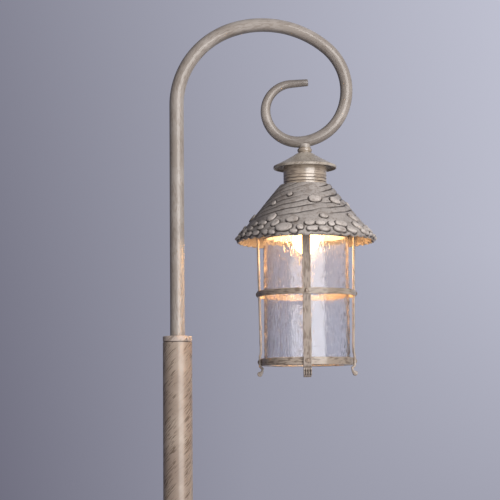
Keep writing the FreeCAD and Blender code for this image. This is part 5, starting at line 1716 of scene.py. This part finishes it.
# How fast the backdrop grows lighter to the right and upwards, and how far its lower right corner is held
# back, from its middle tone at this side and rise.
MIDDLE_SIDE = -0.034
MIDDLE_RISE = 0.104
MIDDLE_TONE = 0.41
RIGHTWARD = 1.75
UPWARD = 0.45
CORNER = 6.0
FILL = 0.31
world = bpy.data.worlds.new("studio_backdrop")
bpy.context.scene.world = world
world.use_nodes = True
sky = world.node_tree
outlook = put(sky, "ShaderNodeTexCoord").outputs["Generated"]
way = put(sky, "ShaderNodeSeparateXYZ", {0: outlook}).outputs
side = maths(sky, "SUBTRACT", way[0], MIDDLE_SIDE)
rise = maths(sky, "SUBTRACT", way[2], MIDDLE_RISE)
corner = times(sky, maths(sky, "MAXIMUM", side, 0.0), maths(sky, "MINIMUM", rise, 0.0))
light = maths(sky, "ADD", times(sky, side, RIGHTWARD), times(sky, rise, UPWARD))
light = maths(sky, "ADD", light, times(sky, corner, CORNER))
lavender = mixed(sky, maths(sky, "ADD", light, MIDDLE_TONE), tint(104, 103, 119), tint(208, 210, 226))
sky.links.new(lavender, sky.nodes["Background"].inputs["Color"])
ray = put(sky, "ShaderNodeLightPath").outputs
mirrored = maths(sky, "MAXIMUM", ray["Is Glossy Ray"], ray["Is Transmission Ray"])
seen = maths(sky, "MAXIMUM", ray["Is Camera Ray"], mirrored)
wing = times(sky, step(sky, way[0], 0.35, 0.75), ray["Is Glossy Ray"])
level = times(sky, span(sky, seen, FILL, 1.0), span(sky, wing, 1.0, 0.45))
sky.links.new(level, sky.nodes["Background"].inputs["Strength"])


LAMP_WHITE = (1.0, 0.97, 0.94)


def soft_lamp(name, place, aim_height, size, power):
    """A rectangular soft lamp turned towards a height on the lantern's axis."""
    lamp = bpy.data.lights.new(name, "AREA")
    lamp.shape = "RECTANGLE"
    lamp.size, lamp.size_y = size
    lamp.energy = power
    lamp.color = LAMP_WHITE
    softbox = placed(name, lamp)
    softbox.location = place
    aim = Vector((hang.x, 0.0, aim_height)) - Vector(place)
    softbox.rotation_euler = aim.to_track_quat("-Z", "Y").to_euler()
    softbox.visible_camera = False
    return softbox


KEY_BEARING = math.radians(27)
KEY_REACH = 1.5
KEY_HEIGHT = 1.25
KEY_AIM = 0.95
KEY_SIZE = (1.25, 1.9)
KEY_POWER = 39.6
REAR_REACH = 2.0
REAR_HEIGHT = 1.4
REAR_AIM = 0.8
REAR_SIZE = (0.6, 1.0)
REAR_POWER = 28.0
key_x = hang.x + KEY_REACH * math.sin(KEY_BEARING)
key_place = (key_x, -KEY_REACH * math.cos(KEY_BEARING), KEY_HEIGHT)
rear_place = (hang.x, REAR_REACH, REAR_HEIGHT)
rear = soft_lamp("rear_softbox", rear_place, REAR_AIM, REAR_SIZE, REAR_POWER)
rear.visible_glossy = False
rear.visible_transmission = False
soft_lamp("key_softbox", key_place, KEY_AIM, KEY_SIZE, KEY_POWER)

# Plain colours, no caustics, and enough bounces for the light to cross both walls of the glass.
scene = bpy.context.scene
scene.view_settings.view_transform = "Standard"
scene.cycles.use_denoising = True
scene.cycles.caustics_reflective = False
scene.cycles.caustics_refractive = False
scene.cycles.sample_clamp_indirect = 6.0
scene.cycles.transmission_bounces = 16
scene.cycles.max_bounces = 16
scene.cycles.transparent_max_bounces = 16

# Camera: a long lens in front of the lantern and below it, tipped up a little. Its picture is shifted to
# the left, so that the post comes into it.
CAMERA_PLACE = (0.16016, -1.93356, 0.68864)
LOOK_UP = math.radians(5.955)
CAMERA_ROLL = math.radians(-0.713)
camera_data = bpy.data.cameras.new("camera")
camera_data.sensor_width = 36.0
camera_data.lens = 107.36
camera_data.shift_x = -0.1
camera = placed("camera", camera_data)
camera.location = CAMERA_PLACE
tilt = Matrix.Rotation(math.pi / 2 + LOOK_UP, 3, "X")
camera.rotation_euler = (tilt @ Matrix.Rotation(CAMERA_ROLL, 3, "Z")).to_euler()
scene.camera = camera
